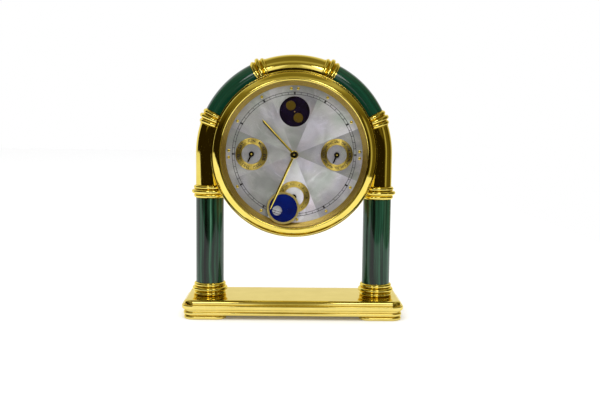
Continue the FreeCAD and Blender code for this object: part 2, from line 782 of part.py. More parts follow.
def make_case_back():
    """Rear cover with the battery opening, the stem's hole and the corrector holes."""
    disc = cylinder("back_disc", DRUM_RADIUS, "back_thickness", z=BACK_FACE)
    length = f"2 * {HATCH_HALF_LENGTH}"
    width = f"2 * {HATCH_HALF_WIDTH}"
    height = "3 * back_thickness"
    left = f"-{HATCH_HALF_LENGTH}"
    low = f"-{BATTERY_DROP} - {HATCH_HALF_WIDTH}"
    under = f"{BACK_FACE} - back_thickness"
    through = box("back_opening", f"{length} - 2 * hatch_ledge", f"{width} - 2 * hatch_ledge", height,
                  f"{left} + hatch_ledge", f"{low} + hatch_ledge", under)
    recess = box("back_recess", length, width, "2 * hatch_lip", left, low, f"{BACK_FACE} - hatch_lip")
    stem = cylinder("back_stem_hole", "setting_stem + hatch_play", height, SETTING_X, SETTING_Y, under)
    holes = [through, recess, stem]
    for name, angle in BUTTON_ANGLES.items():
        x, y = spot("button_circle", angle)
        holes.append(cylinder(f"back_{name}_hole", "button_radius + fit_play", height, x, y, under))
    for i, angle in enumerate(BOSS_ANGLES, start=1):
        x, y = spot(BOSS_CIRCLE, angle)
        holes.append(cylinder(f"back_screw_hole_{i}", "back_screw_radius + fit_play", height, x, y, under))
    return upright(cut("case_back", disc, fuse("back_holes", holes)))


def make_hatch():
    """Battery lid: a plate in the recess with a plug that fills the opening."""
    half_length = f"({HATCH_HALF_LENGTH} - hatch_play)"
    half_width = f"({HATCH_HALF_WIDTH} - hatch_play)"
    plate = box("hatch_plate", f"2 * {half_length}", f"2 * {half_width}", "hatch_lip",
                f"-{half_length}", f"-{BATTERY_DROP} - {half_width}", BACK_FACE)
    plug = box("hatch_plug", f"2 * ({half_length} - hatch_ledge)", f"2 * ({half_width} - hatch_ledge)",
               "back_thickness", f"hatch_ledge - {half_length}",
               f"hatch_ledge - {BATTERY_DROP} - {half_width}", BACK_FACE)
    return upright(fuse("battery_hatch", [plate, plug]))


def make_back_screws():
    screws = []
    for i, angle in enumerate(BOSS_ANGLES, start=1):
        x, y = spot(BOSS_CIRCLE, angle)
        head = cylinder(f"back_screw_head_{i}", "back_screw_head", "back_screw_head_height", x, y,
                        f"{BACK_FACE} - back_screw_head_height")
        stem = cylinder(f"back_screw_stem_{i}", "back_screw_radius", "back_screw_length", x, y, BACK_FACE)
        screws.append(fuse(f"back_screw_{i}", [head, stem]))
    return upright(group("back_screws", screws))


def make_mounting_studs():
    """Studs that carry the drum in the arch, with a spacing collar between drum and tube."""
    studs = []
    head_end = f"({DRUM_BORE} - stud_head)"
    inner_wall = f"({ARCH_RADIUS} - column_radius)"
    length = f"{inner_wall} + stud_reach - {head_end}"
    gap = "arch_gap - 4 * fit_play"
    collar_foot = f"{DRUM_RADIUS} + 2 * fit_play"
    for i, angle in enumerate(STUD_ANGLES, start=1):
        stem = cylinder(f"stud_stem_{i}", "stud_radius", length, head_end, turn=ALONG_X)
        head = cylinder(f"stud_head_{i}", "stud_collar", "stud_head - 4 * fit_play", head_end, turn=ALONG_X)
        collar = cylinder(f"stud_collar_{i}", "stud_collar", gap, collar_foot, turn=ALONG_X)
        spoke = group(f"stud_{i}", [fuse(f"stud_blank_{i}", [stem, head, collar])])
        spoke.Placement = Placement(Vector(), Rotation(Z_AXIS, angle))
        studs.append(spoke)
    return upright(group("mounting_studs", studs))


# ---------------------------------------------------------------- dial
def hand_holes(label, radius, centre_radius, bottom, height):
    """Holes on the hand axes: one in the middle, three on the small dials, one moon window."""
    holes = [cylinder(f"{label}_centre", centre_radius, height, z=bottom)]
    for name, (x, y) in SMALL_DIALS.items():
        holes.append(cylinder(f"{label}_{name}", radius, height, x, y, bottom))
    return holes


SMALL_DIALS = {
    "day": (f"-{SUBDIAL_OFFSET}", "0"),
    "month": (SUBDIAL_OFFSET, "0"),
    "date": ("0", f"-{SUBDIAL_OFFSET}"),
}


def dial_openings(label):
    """The arbor holes and the moon window, through dial plate and pearl."""
    below = f"{DIAL_BACK} - dial_thickness"
    height = "3 * (pearl_thickness + dial_thickness)"
    holes = hand_holes(label, "2 * small_arbor", "pipe_radius + small_arbor", below, height)
    holes.append(cylinder(f"{label}_window", "window_radius", height, "0", SUBDIAL_OFFSET, below))
    return fuse(f"{label}_openings", holes)


def make_dial():
    """Brass dial plate with eight sectors of mother-of-pearl laid on it."""
    plate = cylinder("dial_disc", "dial_radius", "dial_thickness", z=DIAL_BACK)
    upright(cut("dial_plate", plate, dial_openings("dial")))
    sectors = []
    sector_turn = 360 / SECTORS
    for i in range(SECTORS):
        blank = cylinder(f"pearl_blank_{i + 1}", "dial_radius", "pearl_thickness",
                         z="dial_face - pearl_thickness")
        blank.Placement.Rotation = Rotation(Z_AXIS, sector_turn / 2 + sector_turn * i)
        bind(blank, "Angle", f"{sector_turn} - pearl_joint / dial_radius * 180 / pi")
        sectors.append(cut(f"pearl_sector_{i + 1}", blank, dial_openings(f"pearl_{i + 1}")))
    return upright(group("dial_pearl", sectors))


def make_markers():
    """Gilt dots: pairs at twelve, three, six and nine, single ones at the other hours."""
    dots = []
    for hour in range(12):
        shifts = ("-dot_pair / 2", "dot_pair / 2") if hour % 3 == 0 else ("0",)
        for i, shift in enumerate(shifts):
            dot = doc.addObject("Part::Ellipsoid", f"dot_{hour}_{i + 1}")
            bind(dot, "Radius1", "dot_height")
            bind(dot, "Radius2", "dot_radius")
            bind(dot, "Radius3", "dot_radius")
            dot.Angle1 = 0
            dot.Angle2 = 90
            place(dot, shift, DOT_CIRCLE, "dial_face")
            spoke = group(f"dot_spoke_{hour}_{i + 1}", [dot])
            spoke.Placement = Placement(Vector(), Rotation(Z_AXIS, -30 * hour))
            dots.append(spoke)
    return upright(group("hour_markers", dots))


def make_small_rings():
    """Engraved chapter rings of the three calendar dials."""
    top = "(dial_face + subdial_thickness)"
    profile = [
        ("subdial_inner", "dial_face"),
        ("subdial_outer", "dial_face"),
        ("subdial_outer", f"{top} - subdial_chamfer"),
        ("subdial_outer - subdial_chamfer", top),
        ("subdial_inner + subdial_chamfer", top),
        ("subdial_inner", f"{top} - subdial_chamfer"),
    ]
    for name, (x, y) in SMALL_DIALS.items():
        ring = turned(f"{name}_ring", profile)
        place(ring, x, "0", f"{ARCH_CENTRE} + {y}", UPRIGHT)


# ---------------------------------------------------------------- hands
def baton(label, width, edge, height, length, lift, hub, hub_height, bore):
    """A hand pointing to twelve: a ridged bar on a round hub, at a lift above the dial's face."""
    body = new_body(f"{label}_bar")
    floor = f"(dial_face + {lift})"
    corners = [
        (f"-{width} / 2", floor),
        (f"{width} / 2", floor),
        (f"{width} / 2", f"{floor} + {edge}"),
        ("0", f"{floor} + {height}"),
        (f"-{width} / 2", f"{floor} + {edge}"),
    ]
    sketch = polygon(body, f"{label}_section", "XZ_Plane", corners)
    bar = pad(body, sketch, length, f"{label}_pad")
    doc.recompute()
    if bar.Shape.BoundBox.YMax < size("hand_width"):
        bar.Reversed = True
    boss = cylinder(f"{label}_hub", hub, hub_height, z=floor)
    hole = cylinder(f"{label}_bore", f"{bore} + hand_play", f"4 * {hub_height}",
                    z=f"{floor} - {hub_height}")
    return cut(f"{label}_blank", fuse(f"{label}_solid", [body, boss]), hole)


def point_hand(label, blank, clockwise, x="0", y="0"):
    """Turns a hand to where it points and sets it on its axis."""
    hand = group(label, [blank])
    turn = UPRIGHT.multiply(Rotation(Z_AXIS, -clockwise))
    return place(hand, x, "0", f"{ARCH_CENTRE} + {y}", turn)


def make_hands():
    long_hands = (
        ("hour_hand", "short_hand_length", "short_hand_lift", "pipe_radius", HOUR_POINTS),
        ("minute_hand", LONG_HAND, "long_hand_lift", "centre_arbor", MINUTE_POINTS),
    )
    for label, length, lift, bore, points in long_hands:
        blank = baton(label, "hand_width", "hand_edge", "hand_height", length, lift,
                      "hand_hub", "hand_hub_height", bore)
        point_hand(label, blank, points)
    for name, points in (("day", DAY_POINTS), ("month", MONTH_POINTS), ("date", DATE_POINTS)):
        label = f"{name}_hand"
        blank = baton(label, "small_width", "small_edge", "small_height", "small_length", "small_lift",
                      "small_hub", "small_hub_height", "small_arbor")
        x, y = SMALL_DIALS[name]
        point_hand(label, blank, points, x, y)
    cap = cone("cap_cone", "cap_radius", "cap_tip", "cap_height",
               z="dial_face + long_hand_lift + hand_hub_height")
    point_hand("hand_cap", cap, MINUTE_POINTS)


# ---------------------------------------------------------------- moon
def make_moon():
    """The moon disc with its wheel and arbor, and the two gilt moons let into it."""
    front = f"({DIAL_BACK} - moon_gap)"
    back = f"({front} - moon_thickness)"
    disc = cylinder("moon_plate", "moon_radius", "moon_thickness", z=back)
    arbor_length = f"{front} + moon_gap / 2 - {FRONT_LAYER}"
    arbor = cylinder("moon_arbor_stem", "moon_arbor", arbor_length, z=FRONT_LAYER)
    pivot = rear_pivot("moon_pivot", FRONT_LAYER)
    module = f"(2 * star_radius / {MOON_TEETH + 2})"
    wheel = spaced_wheel("moon_star", "star_radius", module, MOON_TEETH, FRONT_LAYER)
    blank = fuse("moon_blank", [disc, arbor, pivot, wheel])
    recesses = []
    spots = []
    floor = f"{front} - moon_spot_recess"
    height = "moon_spot_recess + moon_spot_proud"
    for i, sign in enumerate(("", "-"), start=1):
        y = f"{sign}moon_spot_offset"
        recesses.append(cylinder(f"moon_recess_{i}", "moon_spot_radius", "moon_thickness", "0", y, floor))
        spots.append(cylinder(f"moon_spot_{i}", "moon_spot_radius", height, "0", y, floor))
    disc_cut = cut("moon_cut", blank, fuse("moon_recesses", recesses))
    point_hand("moon_disc", disc_cut, MOON_POINTS, "0", SUBDIAL_OFFSET)
    point_hand("moon_inlays", group("moon_spots", spots), MOON_POINTS, "0", SUBDIAL_OFFSET)


def make_moon_cover():
    """The window's cover, fallen to the foot of the dial: it leans from the date hand's hub to the ring."""
    ring_profile = [
        ("cover_sight", "0"),
        ("cover_radius", "0"),
        ("cover_radius", "cover_thickness - subdial_chamfer"),
        ("cover_radius - subdial_chamfer", "cover_thickness"),
        ("cover_sight + subdial_chamfer", "cover_thickness"),
        ("cover_sight", "cover_thickness - subdial_chamfer"),
    ]
    ring = turned("moon_cover_ring", ring_profile)
    lift = "(cover_thickness - cover_disc_thickness) / 2"
    disc = cylinder("cover_plate", "cover_sight", "cover_disc_thickness", z=lift)
    hole = cylinder("cover_hole", "cover_hole_radius", "3 * cover_thickness", "cover_hole_x",
                    "cover_hole_y", "-cover_thickness")
    enamel = cut("moon_cover_disc", disc, hole)
    x, y = spot(COVER_DISTANCE, COVER_POINTS)
    across = Vector(math.cos(math.radians(COVER_POINTS)), -math.sin(math.radians(COVER_POINTS)), 0)
    lean = UPRIGHT.multiply(Rotation(across, COVER_TILT))
    for piece in (ring, enamel):
        place(piece, x, "-dial_face - cover_lift", f"{ARCH_CENTRE} + {y}", lean)


# ---------------------------------------------------------------- wheels
# Tooth form, in modules; a tooth is narrower than half the pitch, which leaves the backlash. A space
# is cut past the rim, and a tooth starts inside its root circle.
ADDENDUM = 0.84
DEDENDUM = 1.12
TOOTH_SHARE = 0.7
SPACE_OVERRUN = 0.5
TOOTH_FOOT = 0.8
FLANK_SLOPE = math.tan(math.radians(20))


def rear_pivot(label, layer):
    """The pivot from a wheel's layer into the floor of the housing."""
    foot = f"({HOUSING_FLOOR} - pivot_depth)"
    return cylinder(label, "pivot_radius", f"{layer} + wheel_thickness - {foot}", z=foot)


def tooth_half(module, rise):
    """Half a tooth's width where its flank is rise modules outside the pitch circle."""
    return f"({module} * {math.pi / 4 * TOOTH_SHARE - rise * FLANK_SLOPE:.4f})"


def gap_half(module, rise):
    """Half a tooth space's width there."""
    return f"({module} * {math.pi / 4 * (2 - TOOTH_SHARE) + rise * FLANK_SLOPE:.4f})"


def patterned(body, feature, sketch, count, name):
    pattern = body.newObject("PartDesign::PolarPattern", name)
    pattern.Originals = [feature]
    pattern.Axis = (sketch, ["N_Axis"])
    pattern.Angle = 360
    pattern.Occurrences = count
    body.Tip = pattern


def pinion(label, module, teeth, bottom):
    """A pinion with a tooth on the x axis."""
    body = new_body(label)
    root = f"({module} * {teeth / 2 - DEDENDUM})"
    round_pad(body, f"{label}_hub", root, "wheel_thickness", bottom)
    tip = f"({module} * {teeth / 2 + ADDENDUM})"
    low, high = tooth_half(module, -DEDENDUM), tooth_half(module, ADDENDUM)
    corners = [
        (f"{root} * {TOOTH_FOOT}", f"-{low}"),
        (root, f"-{low}"),
        (tip, f"-{high}"),
        (tip, high),
        (root, low),
        (f"{root} * {TOOTH_FOOT}", low),
    ]
    sketch = polygon(body, f"{label}_tooth", "XY_Plane", corners, bottom)
    tooth = pad(body, sketch, "wheel_thickness", f"{label}_tooth_pad")
    patterned(body, tooth, sketch, teeth, f"{label}_teeth")
    return body


def round_pad(body, name, radius, height, bottom):
    """A disc as the first feature of a body."""
    sketch = body.newObject("Sketcher::SketchObject", f"{name}_circle")
    sketch.AttachmentSupport = [(plane_of(body, "XY_Plane"), "")]
    sketch.MapMode = "FlatFace"
    bind(sketch, ".AttachmentOffset.Base.z", bottom)
    sketch.addGeometry(Part.Circle(Vector(), Z_AXIS, 1), False)
    sketch.addConstraint(Sketcher.Constraint("Coincident", 0, 3, -1, 1))
    number = sketch.addConstraint(Sketcher.Constraint("Radius", 0, 1.0))
    bind(sketch, f"Constraints[{number}]", radius)
    return pad(body, sketch, height, f"{name}_pad")


def spaced_wheel(label, tip, module, teeth, bottom):
    """A wheel cut from a disc, with a tooth space on the x axis."""
    body = new_body(label)
    round_pad(body, f"{label}_disc", tip, "wheel_thickness", bottom)
    root = f"({tip} - {module} * {ADDENDUM + DEDENDUM})"
    low, high = gap_half(module, -DEDENDUM), gap_half(module, ADDENDUM + SPACE_OVERRUN)
    corners = [
        (root, f"-{low}"),
        (f"{tip} + {module} * {SPACE_OVERRUN}", f"-{high}"),
        (f"{tip} + {module} * {SPACE_OVERRUN}", high),
        (root, low),
    ]
    sketch = polygon(body, f"{label}_space", "XY_Plane", corners, bottom)
    doc.recompute()
    before = body.Shape.Volume
    space = body.newObject("PartDesign::Pocket", f"{label}_space_cut")
    space.Profile = sketch
    bind(space, "Length", "wheel_thickness")
    space.Reversed = True
    doc.recompute()
    if not space.Shape.Volume < before:
        raise RuntimeError(f"{label}: the tooth space cuts nothing")
    patterned(body, space, sketch, teeth, f"{label}_spaces")
    return body


def make_motion_work():
    """Minute arbor, hour wheel and the setting wheel that joins them, 12 to 1."""
    minute_top = "(dial_face + long_hand_lift + hand_hub_height)"
    stem = cylinder("minute_stem", "centre_arbor", f"{minute_top} - {REAR_LAYER}", z=REAR_LAYER)
    pivot = rear_pivot("minute_pivot", REAR_LAYER)
    leaves = pinion("minute_pinion", "motion_module", MINUTE_PINION_TEETH, REAR_LAYER)
    turn_with_gears("minute_arbor", fuse("minute_blank", [leaves, stem, pivot]))

    hour_top = "(dial_face + short_hand_lift + hand_hub_height)"
    tip = f"({HOUR_MODULE} * {HOUR_WHEEL_TEETH / 2 + ADDENDUM})"
    wheel = spaced_wheel("hour_disc", tip, HOUR_MODULE, HOUR_WHEEL_TEETH, FRONT_LAYER)
    pipe = cylinder("hour_pipe_wall", "pipe_radius", f"{hour_top} - {FRONT_LAYER}", z=FRONT_LAYER)
    bore = cylinder("hour_pipe_bore", "pipe_radius - pipe_wall", "3 * drum_end", z="-drum_end")
    turn_with_gears("hour_wheel", cut("hour_blank", fuse("hour_solid", [wheel, pipe]), bore))

    tip = f"(motion_module * {SETTING_WHEEL_TEETH / 2 + ADDENDUM})"
    wheel = spaced_wheel("setting_disc", tip, "motion_module", SETTING_WHEEL_TEETH, REAR_LAYER)
    small = pinion("setting_pinion", HOUR_MODULE, SETTING_PINION_TEETH, FRONT_LAYER)
    stem_foot = f"({BACK_FACE} - knob_gap)"
    join = cylinder("setting_join", "setting_stem", f"{PLATE_BACK} - {stem_foot}", z=stem_foot)
    nose = cylinder("setting_nose", "pivot_radius", "2 * pivot_depth", z=f"{PLATE_BACK} - pivot_depth")
    blank = fuse("setting_blank", [wheel, small, join, nose])
    turn_with_gears("intermediate_wheel", blank, SETTING_X, SETTING_Y)


def turn_with_gears(label, blank, x="0", y="0"):
    """Turns a wheel so that its x axis lies on the line of centres, and sets it on its axis."""
    wheel = group(label, [blank])
    turn = UPRIGHT.multiply(Rotation(Z_AXIS, size("setting_angle")))
    return place(wheel, x, "0", f"{ARCH_CENTRE} + {y}", turn)


def make_calendar_wheels():
    """Star wheels of the calendar hands: seven days, thirty-one dates and twelve months."""
    hand_top = "(dial_face + small_lift + small_hub_height)"
    for name, teeth in (("day", DAY_TEETH), ("date", DATE_TEETH), ("month", MONTH_TEETH)):
        module = f"2 * star_radius / {teeth + 2}"
        star = spaced_wheel(f"{name}_star", "star_radius", f"({module})", teeth, FRONT_LAYER)
        stem = cylinder(f"{name}_stem", "small_arbor", f"{hand_top} - {FRONT_LAYER}", z=FRONT_LAYER)
        pivot = rear_pivot(f"{name}_pivot", FRONT_LAYER)
        x, y = SMALL_DIALS[name]
        place(fuse(f"{name}_wheel", [star, stem, pivot]), x, "0", f"{ARCH_CENTRE} + {y}", UPRIGHT)


# ---------------------------------------------------------------- movement
def make_movement_plate():
    """A dished plate behind the dial that carries the arbors and spaces the dial."""
    profile = [
        ("0", PLATE_BACK),
        (PLATE_RADIUS, PLATE_BACK),
        (PLATE_RADIUS, DIAL_BACK),
        (f"{PLATE_RADIUS} - plate_rim", DIAL_BACK),
        (f"{PLATE_RADIUS} - plate_rim", PLATE_FRONT),
        ("0", PLATE_FRONT),
    ]
    dish = turned("movement_dish", profile)
    below = f"{PLATE_BACK} - plate_thickness"
    height = "3 * plate_thickness"
    holes = hand_holes("plate_hole", "small_arbor + fit_play", "pipe_radius + fit_play", below, height)
    holes.append(cylinder("plate_moon_hole", "moon_arbor + fit_play", height, "0", SUBDIAL_OFFSET, below))
    holes.append(cylinder("plate_setting_hole", "pivot_radius + fit_play", height, SETTING_X, SETTING_Y,
                          below))
    return upright(cut("movement_plate", dish, fuse("plate_holes", holes)))


def make_housing():
    """Moulded cover of the wheel train, with the battery's trough on its back."""
    profile = [
        ("0", HOUSING_BACK),
        (HOUSING_RADIUS, HOUSING_BACK),
        (HOUSING_RADIUS, PLATE_BACK),
        (f"{HOUSING_RADIUS} - housing_wall", PLATE_BACK),
        (f"{HOUSING_RADIUS} - housing_wall", HOUSING_FLOOR),
        ("0", HOUSING_FLOOR),
    ]
    shell = turned("housing_shell", profile)
    left = f"-{TROUGH_HALF_LENGTH}"
    low = f"-{BATTERY_DROP} - {TROUGH_HALF_WIDTH}"
    depth = TROUGH_HALF_WIDTH
    end = f"{HOUSING_BACK} - {depth}"
    block = box("trough_block", f"2 * {TROUGH_CORNER}", f"2 * ({depth} + trough_wall)", depth,
                f"{left} - trough_wall", f"{low} - trough_wall", end)
    room = box("trough_room", f"2 * {TROUGH_HALF_LENGTH}", f"2 * {depth}", depth, left, low, end)
    blank = fuse("housing_blank", [shell, cut("trough", block, room)])
    below = f"{HOUSING_BACK} - housing_wall"
    height = "3 * housing_wall"
    holes = hand_holes("housing_hole", "pivot_radius + fit_play", "pivot_radius + fit_play", below, height)
    holes.append(cylinder("housing_moon_hole", "pivot_radius + fit_play", height, "0", SUBDIAL_OFFSET,
                          below))
    holes.append(cylinder("housing_setting_hole", "setting_stem + fit_play", height, SETTING_X, SETTING_Y,
                          below))
    return upright(cut("movement_housing", blank, fuse("housing_holes", holes)))


def make_battery():
    can_end = "-(battery_length + battery_nub_length) / 2"
    nub_foot = "(battery_length - battery_nub_length) / 2"
    drop = f"-{BATTERY_DROP}"
    can = cylinder("battery_can", "battery_radius", "battery_length", can_end, drop, BATTERY_Z, ALONG_X)
    nub = cylinder("battery_tip", "battery_nub", "battery_nub_length", nub_foot, drop, BATTERY_Z, ALONG_X)
    return upright(fuse("battery", [can, nub]))


def make_coil():
    """The stepping motor's coil on its bobbin."""
    centre = f"({HOUSING_FLOOR} + coil_cheek)"
    left = "coil_x - coil_length / 2"
    right = "coil_x + coil_length / 2 - coil_cheek_thickness"
    pieces = [cylinder("coil_winding", "coil_radius", "coil_length", left, "coil_y", centre, ALONG_X)]
    for name, x in (("left", left), ("right", right)):
        pieces.append(box(f"coil_cheek_{name}", "coil_cheek_thickness", "2 * coil_cheek", "2 * coil_cheek",
                          x, "coil_y - coil_cheek", HOUSING_FLOOR))
    return upright(fuse("motor_coil", pieces))


def make_board():
    board = box("board_blank", "board_length", "board_width", "board_thickness", "board_x", "board_y",
                HOUSING_FLOOR)
    return upright(group("circuit_board", [board]))


KNOB_FLUTES = 18


def make_knob():
    """Fluted setting knob outside the rear cover, on the intermediate wheel's stem."""
    body = new_body("knob_blank")
    bottom = f"({BACK_FACE} - knob_gap - knob_thickness)"
    round_pad(body, "knob_disc", "knob_radius", "knob_thickness", bottom)
    corners = [
        ("knob_radius - knob_flute", "0"),
        ("knob_radius + knob_flute", "-knob_flute"),
        ("knob_radius + knob_flute", "knob_flute"),
    ]
    sketch = polygon(body, "knob_flute_section", "XY_Plane", corners, bottom)
    doc.recompute()
    before = body.Shape.Volume
    flute = body.newObject("PartDesign::Pocket", "knob_flute_cut")
    flute.Profile = sketch
    bind(flute, "Length", "knob_thickness")
    flute.Reversed = True
    doc.recompute()
    if not flute.Shape.Volume < before:
        raise RuntimeError("the knob's flute cuts nothing")
    patterned(body, flute, sketch, KNOB_FLUTES, "knob_flutes")
    return turn_with_gears("setting_knob", body, SETTING_X, SETTING_Y)


def make_buttons():
    """Correctors: a button in the rear cover with a flange inside it and a stem to the works."""
    for name, angle in BUTTON_ANGLES.items():
        x, y = spot("button_circle", angle)
        top = f"({BACK_FACE} - button_proud)"
        flange_top = "(-drum_end + fit_play)"
        button = cylinder(f"{name}_button", "button_radius", f"{flange_top} - {top}", x, y, top)
        flange = cylinder(f"{name}_flange", "button_flange", "button_flange_thickness", x, y, flange_top)
        stem_top = f"({HOUSING_BACK} - button_travel - hatch_play)"
        stem = cylinder(f"{name}_stem_rod", "button_stem", f"{stem_top} - {flange_top}", x, y, flange_top)
        upright(fuse(f"corrector_{name}", [button, flange, stem]))


NODES = [
    "base_plate", "foot_left", "foot_right", "base_collar_left", "base_collar_right",
    "column_left", "column_right", "capital_left", "capital_right",
    "arch_leg_left", "arch_leg_right", "arch_stone_left", "arch_stone_right", "arch_crown",
    "tie_lower_left", "tie_lower_right", "tie_upper_left", "tie_upper_right",
    "arch_core", "column_screws", "mounting_studs",
    "case_drum", "bezel", "inner_ring", "crystal", "case_back", "back_screws", "battery_hatch",
    "dial_plate", "dial_pearl", "hour_markers", "day_ring", "month_ring", "date_ring",
    "hour_hand", "minute_hand", "hand_cap", "day_hand", "month_hand", "date_hand",
    "moon_disc", "moon_inlays", "moon_cover_ring", "moon_cover_disc",
    "minute_arbor", "hour_wheel", "intermediate_wheel", "day_wheel", "date_wheel", "month_wheel",
    "movement_plate", "movement_housing", "motor_coil", "circuit_board", "battery",
    "setting_knob", "corrector_day", "corrector_date", "corrector_moon", "corrector_month",
]


def build():
    make_base()
    for side, sign, stud_angle in (("left", "-", 180), ("right", "", 0)):
        make_foot(side, sign)
        make_column(side, sign)
        make_leg(side, sign, stud_angle)
    make_arch()
    make_ties()
    make_core()
    make_column_screws()
    make_drum()
    make_bezel()
    make_inner_ring()
    make_crystal()
    make_case_back()
    make_hatch()
    make_back_screws()
    make_mounting_studs()
    make_dial()
    make_markers()
    make_small_rings()
    make_hands()
    make_moon()
    make_moon_cover()
    make_motion_work()
    make_calendar_wheels()
    make_movement_plate()
    make_housing()
    make_battery()
    make_coil()
    make_board()
    make_knob()
    make_buttons()
    doc.recompute()


def check():
    """Stops if any object failed or any piece is empty or invalid."""
    failed = [thing.Label for thing in doc.Objects if {"Invalid", "Error"} & set(thing.State)]
    if failed:
        raise RuntimeError(f"not built: {', '.join(failed)}")
    for label in NODES:
        shape = doc.getObjectsByLabel(label)[0].Shape
        if shape.isNull() or not shape.isValid() or not shape.Solids:
            raise RuntimeError(f"{label}: no valid solid")


def write():
    os.makedirs("parts", exist_ok=True)
    for label in NODES:
        doc.getObjectsByLabel(label)[0].Shape.exportStep(f"parts/{label}.step")


build()
check()
write()
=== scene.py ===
"""Looks of the arched desk clock: gilt brass, malachite and mother-of-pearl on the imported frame.

Sizes are in millimetres and are made metres where a mesh is built. Pieces of the clock head are drawn
in the dial's own frame, x to the right, y up and z towards the reader, and are then stood up.
"""
import math
from functools import partial

import bmesh
import bpy
from mathutils import Matrix, Vector


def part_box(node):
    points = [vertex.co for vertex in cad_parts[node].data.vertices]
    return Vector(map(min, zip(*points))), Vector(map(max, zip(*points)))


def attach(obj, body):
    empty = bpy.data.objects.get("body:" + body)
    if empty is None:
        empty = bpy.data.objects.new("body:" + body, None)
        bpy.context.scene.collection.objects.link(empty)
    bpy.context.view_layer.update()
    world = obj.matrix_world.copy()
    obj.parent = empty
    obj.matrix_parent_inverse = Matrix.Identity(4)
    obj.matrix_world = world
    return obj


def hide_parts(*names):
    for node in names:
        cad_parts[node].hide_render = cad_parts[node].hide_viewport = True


MM = 0.001
MERGE = 1e-6
SHARP = math.radians(38)

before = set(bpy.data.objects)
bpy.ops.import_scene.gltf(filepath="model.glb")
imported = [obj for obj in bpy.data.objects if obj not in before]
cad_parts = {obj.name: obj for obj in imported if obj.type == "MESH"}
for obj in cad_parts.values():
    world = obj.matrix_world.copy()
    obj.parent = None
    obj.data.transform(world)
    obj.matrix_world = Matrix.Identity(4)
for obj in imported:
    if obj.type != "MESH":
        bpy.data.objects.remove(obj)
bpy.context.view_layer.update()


# --- places taken from the frame
def low(node):
    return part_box(node)[0] / MM


def high(node):
    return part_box(node)[1] / MM


def middle(node):
    return (low(node) + high(node)) / 2


def half_size(node):
    return (high(node) - low(node)) / 2


def levels(node):
    """Heights of a node's back and front towards the reader."""
    return -high(node).y, -low(node).y


COLUMN_X = middle("column_right").x
COLUMN_R = half_size("column_right").x
BASE_TOP = high("base_plate").z
COLUMN_FOOT = low("column_right").z
CAPITAL_FOOT = high("column_right").z
LEG_FOOT = low("arch_leg_right").z
ARCH_R = COLUMN_X
HEAD_Z = high("arch_crown").z - COLUMN_R - ARCH_R
CRYSTAL_R = half_size("crystal").x
CRYSTAL_BACK, CRYSTAL_FRONT = levels("crystal")
BEZEL_BACK, BEZEL_FRONT = levels("bezel")
BEZEL_LIP = half_size("bezel").x
PEARL_BACK, DIAL_FACE = levels("dial_pearl")
DIAL_R = half_size("dial_plate").x
DRUM_R = half_size("case_back").x
BACK_OUTSIDE, BACK_INSIDE = levels("case_back")
SMALL_DIAL = middle("month_ring").x
SMALL_OUTER = half_size("month_ring").x
RING_FACE = levels("month_ring")[1]

# Sizes that the frame's boxes don't give.
FOOT_TOP = 2.3
FOOT_EDGE = 0.9
FOOT_CORNER = 7.1
PLATE_CORNER = 8.5
SCREW_RECESS = 6.6
RECESS_DEPTH = 3.5
SCREW_BORE = 4.1
CORE_ROOM = 6.1
SLEEVE_R = COLUMN_R + 0.3
LOW_TIE = 67.5
HIGH_TIE = 22.5
TIE_LENGTH = 9.5
TIE_ROOM = BEZEL_LIP + 0.2
HEAD_GAP = 0.25
BEZEL_WALL = CRYSTAL_R + 5.3
BEZEL_INNER = CRYSTAL_R - 1.1
CRYSTAL_SEAT = CRYSTAL_R + 0.1
RING_OUTER = 50.6
DIAL_OPENING = 48.2
DRUM_REAR = -16.4
HATCH_PLAY = 0.3
SMALL_INNER = 7.0
WINDOW_R = 10.65

# The two sides, and the buttons on the back.
SIDES = (("left", -1), ("right", 1))
CORRECTORS = ("day", "date", "moon", "month")


def on_dial(node):
    """Where a node's middle lies, right and up from the dial's centre."""
    return middle(node).x, middle(node).z - HEAD_Z


# --- mesh helpers
def along(point, distance, angle):
    """The point at a distance from another, in a direction in degrees from the first axis."""
    turn = math.radians(angle)
    return point[0] + distance * math.cos(turn), point[1] + distance * math.sin(turn)


def arc(centre, radius, start, end, count):
    """Points of an arc, with angles in degrees."""
    return [along(centre, radius, angle) for angle in steps(start, end, count)]


def steps(start, end, count):
    return [start + (end - start) * i / count for i in range(count + 1)]


def turned(profile, count=96, closed=False):
    """A section of (radius, height) points in millimetres, spun about Z."""
    bm = bmesh.new()
    points = [bm.verts.new((radius * MM, 0, height * MM)) for radius, height in profile]
    pairs = list(zip(points, points[1:]))
    if closed:
        pairs.append((points[-1], points[0]))
    section = points + [bm.edges.new(pair) for pair in pairs]
    bmesh.ops.spin(bm, geom=section, cent=(0, 0, 0), axis=(0, 0, 1), dvec=(0, 0, 0), angle=math.tau,
                   steps=count, use_merge=True, use_duplicate=False)
    bmesh.ops.remove_doubles(bm, verts=bm.verts, dist=MERGE)
    return bm


